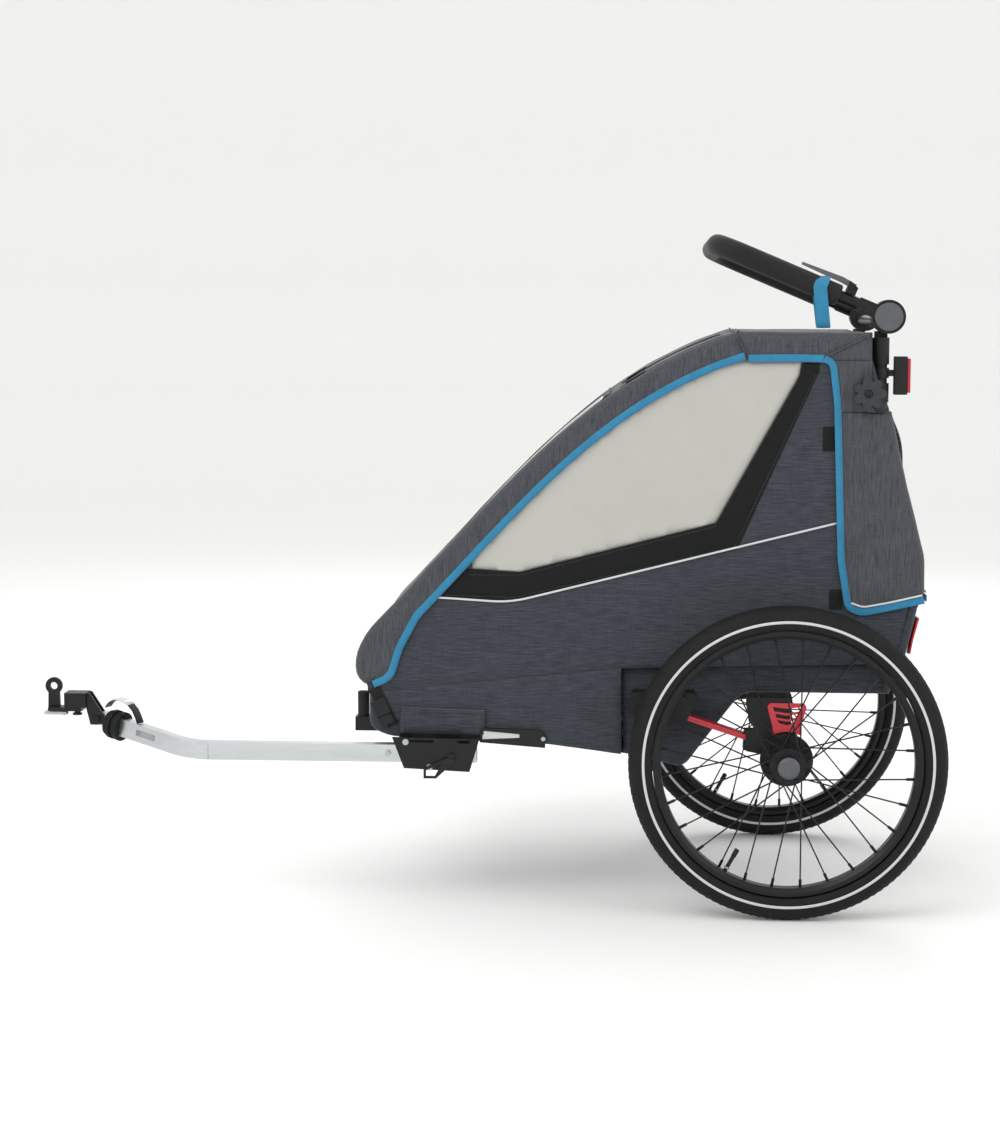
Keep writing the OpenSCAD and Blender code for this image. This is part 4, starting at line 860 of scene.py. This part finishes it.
# The knobs are of the same nylon, worn a little paler.
worn_nylon = grained("nylon_charcoal_moulded", "#2b2c2e", 0.5, 1.1, 0.05, "#393a3d", 0.5,
                     ior=1.53, Specular_IOR_Level=0.35)
for side, _ in SIDES:
    dress(f"star_knob_{side}", worn_nylon, 1.4)
dress("light_lens", red_lens, 1.2)
dress("clutch_rings", zinc, 0)
for side, sign in SIDES:
    dress(f"hinge_button_{side}", grey_nylon, 1.6)
    # Screw: a domed head in the black powder-coat finish, pressed into the middle of the star knob.
    ring = [(0.2, 22.2), (3, 21.9), (5.4, 20.6), (6.6, 18.2), (6.6, 17.0), (0.2, 17.0)]
    points, faces = turned(ring, 28, 0)
    moved = [(p.x + 0.12, sign * (COVER_Y / 1000 + p.y), p.z + 0.577) for p in points]
    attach(piece_of(f"knob_screw_{side}", moved, faces, powder), f"star_knob_{side}")

# Push bar: a powder-coated tube with a foam sleeve, a grey brake lever and a blue wrist strap.
dress("push_bar_arms", powder, 0.8)
dress("brake_lever", grey_nylon, 1.2)
# Closed-cell EVA foam: very matt, with a pitted skin.
foam = grained("eva_foam_black", "#121213", 0.9, 1.6, 0.35, "#1e1e20", 0.6, ior=1.45, Sheen_Weight=0.12)
BAR_ANGLE = math.radians(23)


def on_bar(reach, up, y):
    """A place on the push bar: reach along it from the hinge, up square to it, in mm."""
    return spot(153 - reach * math.cos(BAR_ANGLE) + up * math.sin(BAR_ANGLE), y,
                696 + reach * math.sin(BAR_ANGLE) + up * math.cos(BAR_ANGLE))


ARM_Y, REACH, BEND = 210.5, 290, 55
half = [on_bar(s, 0, ARM_Y) for s in np.linspace(84, REACH - BEND, 12)]
half += [on_bar(REACH - BEND + BEND * math.sin(a), 0, ARM_Y - BEND + BEND * math.cos(a))
         for a in np.linspace(0.12, math.pi / 2, 14)]
half += [on_bar(REACH, 0, y) for y in np.linspace(ARM_Y - BEND - 12, 0, 12)]
route = half + [Vector((p.x, -p.y, p.z)) for p in reversed(half[:-1])]
circle = [(math.cos(2 * math.pi * i / 32), math.sin(2 * math.pi * i / 32)) for i in range(32)]
bar_up = (math.sin(BAR_ANGLE), 0, math.cos(BAR_ANGLE))
line = [route[0]] + [route[0] + (route[1] - route[0]) * 0.15] + route[1:-1]
line += [route[-1] + (route[-2] - route[-1]) * 0.15, route[-1]]
points, faces = swept(line, [(17 * c, 17 * s) for c, s in circle], bar_up)
# The sleeve's ends are rounded over.
for ring in (0, len(line) - 1):
    for k in range(32 * ring, 32 * ring + 32):
        points[k] = line[ring] + (points[k] - line[ring]) * 0.86
grip = piece_of("foam_sleeve", points, faces, foam)
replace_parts(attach(grip, "push_bar"), "push_bar_grip")
loop = []
for a in np.linspace(-180, 0, 13):
    loop.append(on_bar(118, 18.3 * -math.sin(math.radians(a)), -ARM_Y + 18.6 * math.cos(math.radians(a))))
hang = on_bar(118, 0, 0)
legs = [Vector((hang.x + 0.007 * t, -(ARM_Y + 18.6 - 6 * t * t) / 1000, hang.z - 0.062 * t))
        for t in np.linspace(0, 1, 8)]
other = [Vector((p.x, -2 * ARM_Y / 1000 - p.y, p.z)) for p in legs]
strap_line = list(reversed(legs[1:])) + loop + other[1:]
strap_line += [Vector((hang.x + 0.007, y / 1000, hang.z - 0.063))
               for y in np.linspace(-ARM_Y + 9, -ARM_Y - 9, 5)]
points = []
shape = tape_section(21, 1.7, 12)
for i, p in enumerate(strap_line):
    along = (strap_line[(i + 1) % len(strap_line)] - strap_line[i - 1]).normalized()
    beside = Vector((1, 0, 0))
    beside = (beside - beside.dot(along) * along).normalized()
    above = beside.cross(along)
    points += [p + (beside * s + above * (t - 0.85)) / 1000 for s, t in shape]
strap = piece_of("wrist_loop_strap", points, tube_faces(len(strap_line), len(shape)), blue_tape)
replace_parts(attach(strap, "push_bar"), "wrist_strap")

# Drawbar: a rectangular aluminium tube with a rubber boot, a strap over the joint, and its pin.
# Printed polyester label stock, grey with no print on it.
label_film, _ = finish_of("polyester_label_grey", "#8e9194", 0.45, Coat_Weight=0.3)
dress("drawbar", anodised, 1.8)
dress("drawbar_boot", rubber, 1.5)
dress("drawbar_pin", nylon, 0.4)
dress("snap_button", zinc, 0.8)
bar_end, bend_at = Vector((-1126, -170, 36)), Vector((-955, -250, 1))
bar_way = (bar_end - bend_at).normalized()
arch = [bar_end + bar_way * u + Vector((0, 0, v)) for u, v in
        ((-88, 15), (-84, 24), (-78, 34), (-70, 40), (-60, 43), (-46, 43), (-38, 40), (-30, 34), (-23, 25))]
arch_line = [spot(*p) for p in arch]
# A grey reflective sleeve is sewn round the top of the strap.
sleeve_line = [p + Vector((0, 0, 0.0003)) for p in arch_line[3:7]]
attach(tape("strap_sleeve", sleeve_line, 19.5, 3.0, (0, 0, 1), reflective, WEB), "chassis")
# A blank grey label is stuck to the outer face of the bent part.
outward = Vector((bar_way.y, -bar_way.x, 0)).normalized()
outward = outward if outward.y < 0 else -outward
line = [spot(*(bend_at + bar_way * u + outward * 10.85)) for u in (66, 84, 104)]
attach(tape("drawbar_label", line, 13, 0.5, outward, label_film), "chassis")
strap = tape("safety_webbing", arch_line, 18, 2.2, (0, 0, 1), webbing, WEB)
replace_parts(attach(strap, "chassis"), "safety_strap")

# Hitch: a powder-coated steel fork, a swivel, and the adapter whose eye goes on the bicycle's axle.
for node in ("hitch_fork", "axle_adapter"):
    dress(node, powder, 0.9)
dress("hitch_lever", zinc, 0.8)

# Studio: a pale seamless floor that curves up all round, open above to an even white light.
COVE = [(7.0, 0.0), (7.5, 0.0), (8.0, 0.04), (8.4, 0.12), (9.1, 0.5), (9.5, 1.1), (9.6, 1.8), (9.6, 4.5)]
COVE_STEPS = 96
points = []
for radius, height in COVE:
    for i in range(COVE_STEPS):
        turn = 2 * math.pi * i / COVE_STEPS
        points.append((radius * math.cos(turn), radius * math.sin(turn), height))
faces = tube_faces(len(COVE), COVE_STEPS, closed=False) + [tuple(range(COVE_STEPS))]
paper, _ = finish_of("paper_white_matt", "#f4f4f3", 0.9)
floor = piece_of("studio_floor", points, faces, paper)
floor.data.polygons[len(faces) - 1].use_smooth = False
world = bpy.data.worlds.new("studio_light")
bpy.context.scene.world = world
world.use_nodes = True
world.node_tree.nodes["Background"].inputs["Color"].default_value = (1, 1, 1, 1)
world.node_tree.nodes["Background"].inputs["Strength"].default_value = 1.0
for name, place, aim, size, power in (("key", (-1.6, -2.6, 3.2), (0.1, 0, 0.5), 2.4, 55),
                                      ("fill", (3.0, -2.0, 1.8), (0.2, 0, 0.5), 2.0, 18),
                                      ("back", (0.5, 3.2, 2.8), (0, 0, 0.5), 2.4, 40)):
    lamp = bpy.data.lights.new(name, "AREA")
    lamp.size = size
    lamp.energy = power
    holder = bpy.data.objects.new(name, lamp)
    holder.location = place
    holder.rotation_euler = (Vector(aim) - Vector(place)).to_track_quat("-Z", "Y").to_euler()
    bpy.context.scene.collection.objects.link(holder)

# Camera: level with the push bar, a little ahead of the middle, looking slightly down at the left side.
lens = bpy.data.cameras.new("camera")
lens.lens = 73.0
lens.sensor_width = 36
camera = bpy.data.objects.new("camera", lens)
camera.location = (0.264, -3.914, 0.961)
camera.rotation_euler = (math.radians(90 - 6.54), 0, math.radians(3.7))
bpy.context.scene.collection.objects.link(camera)
bpy.context.scene.camera = camera
bpy.context.scene.view_settings.view_transform = "Standard"
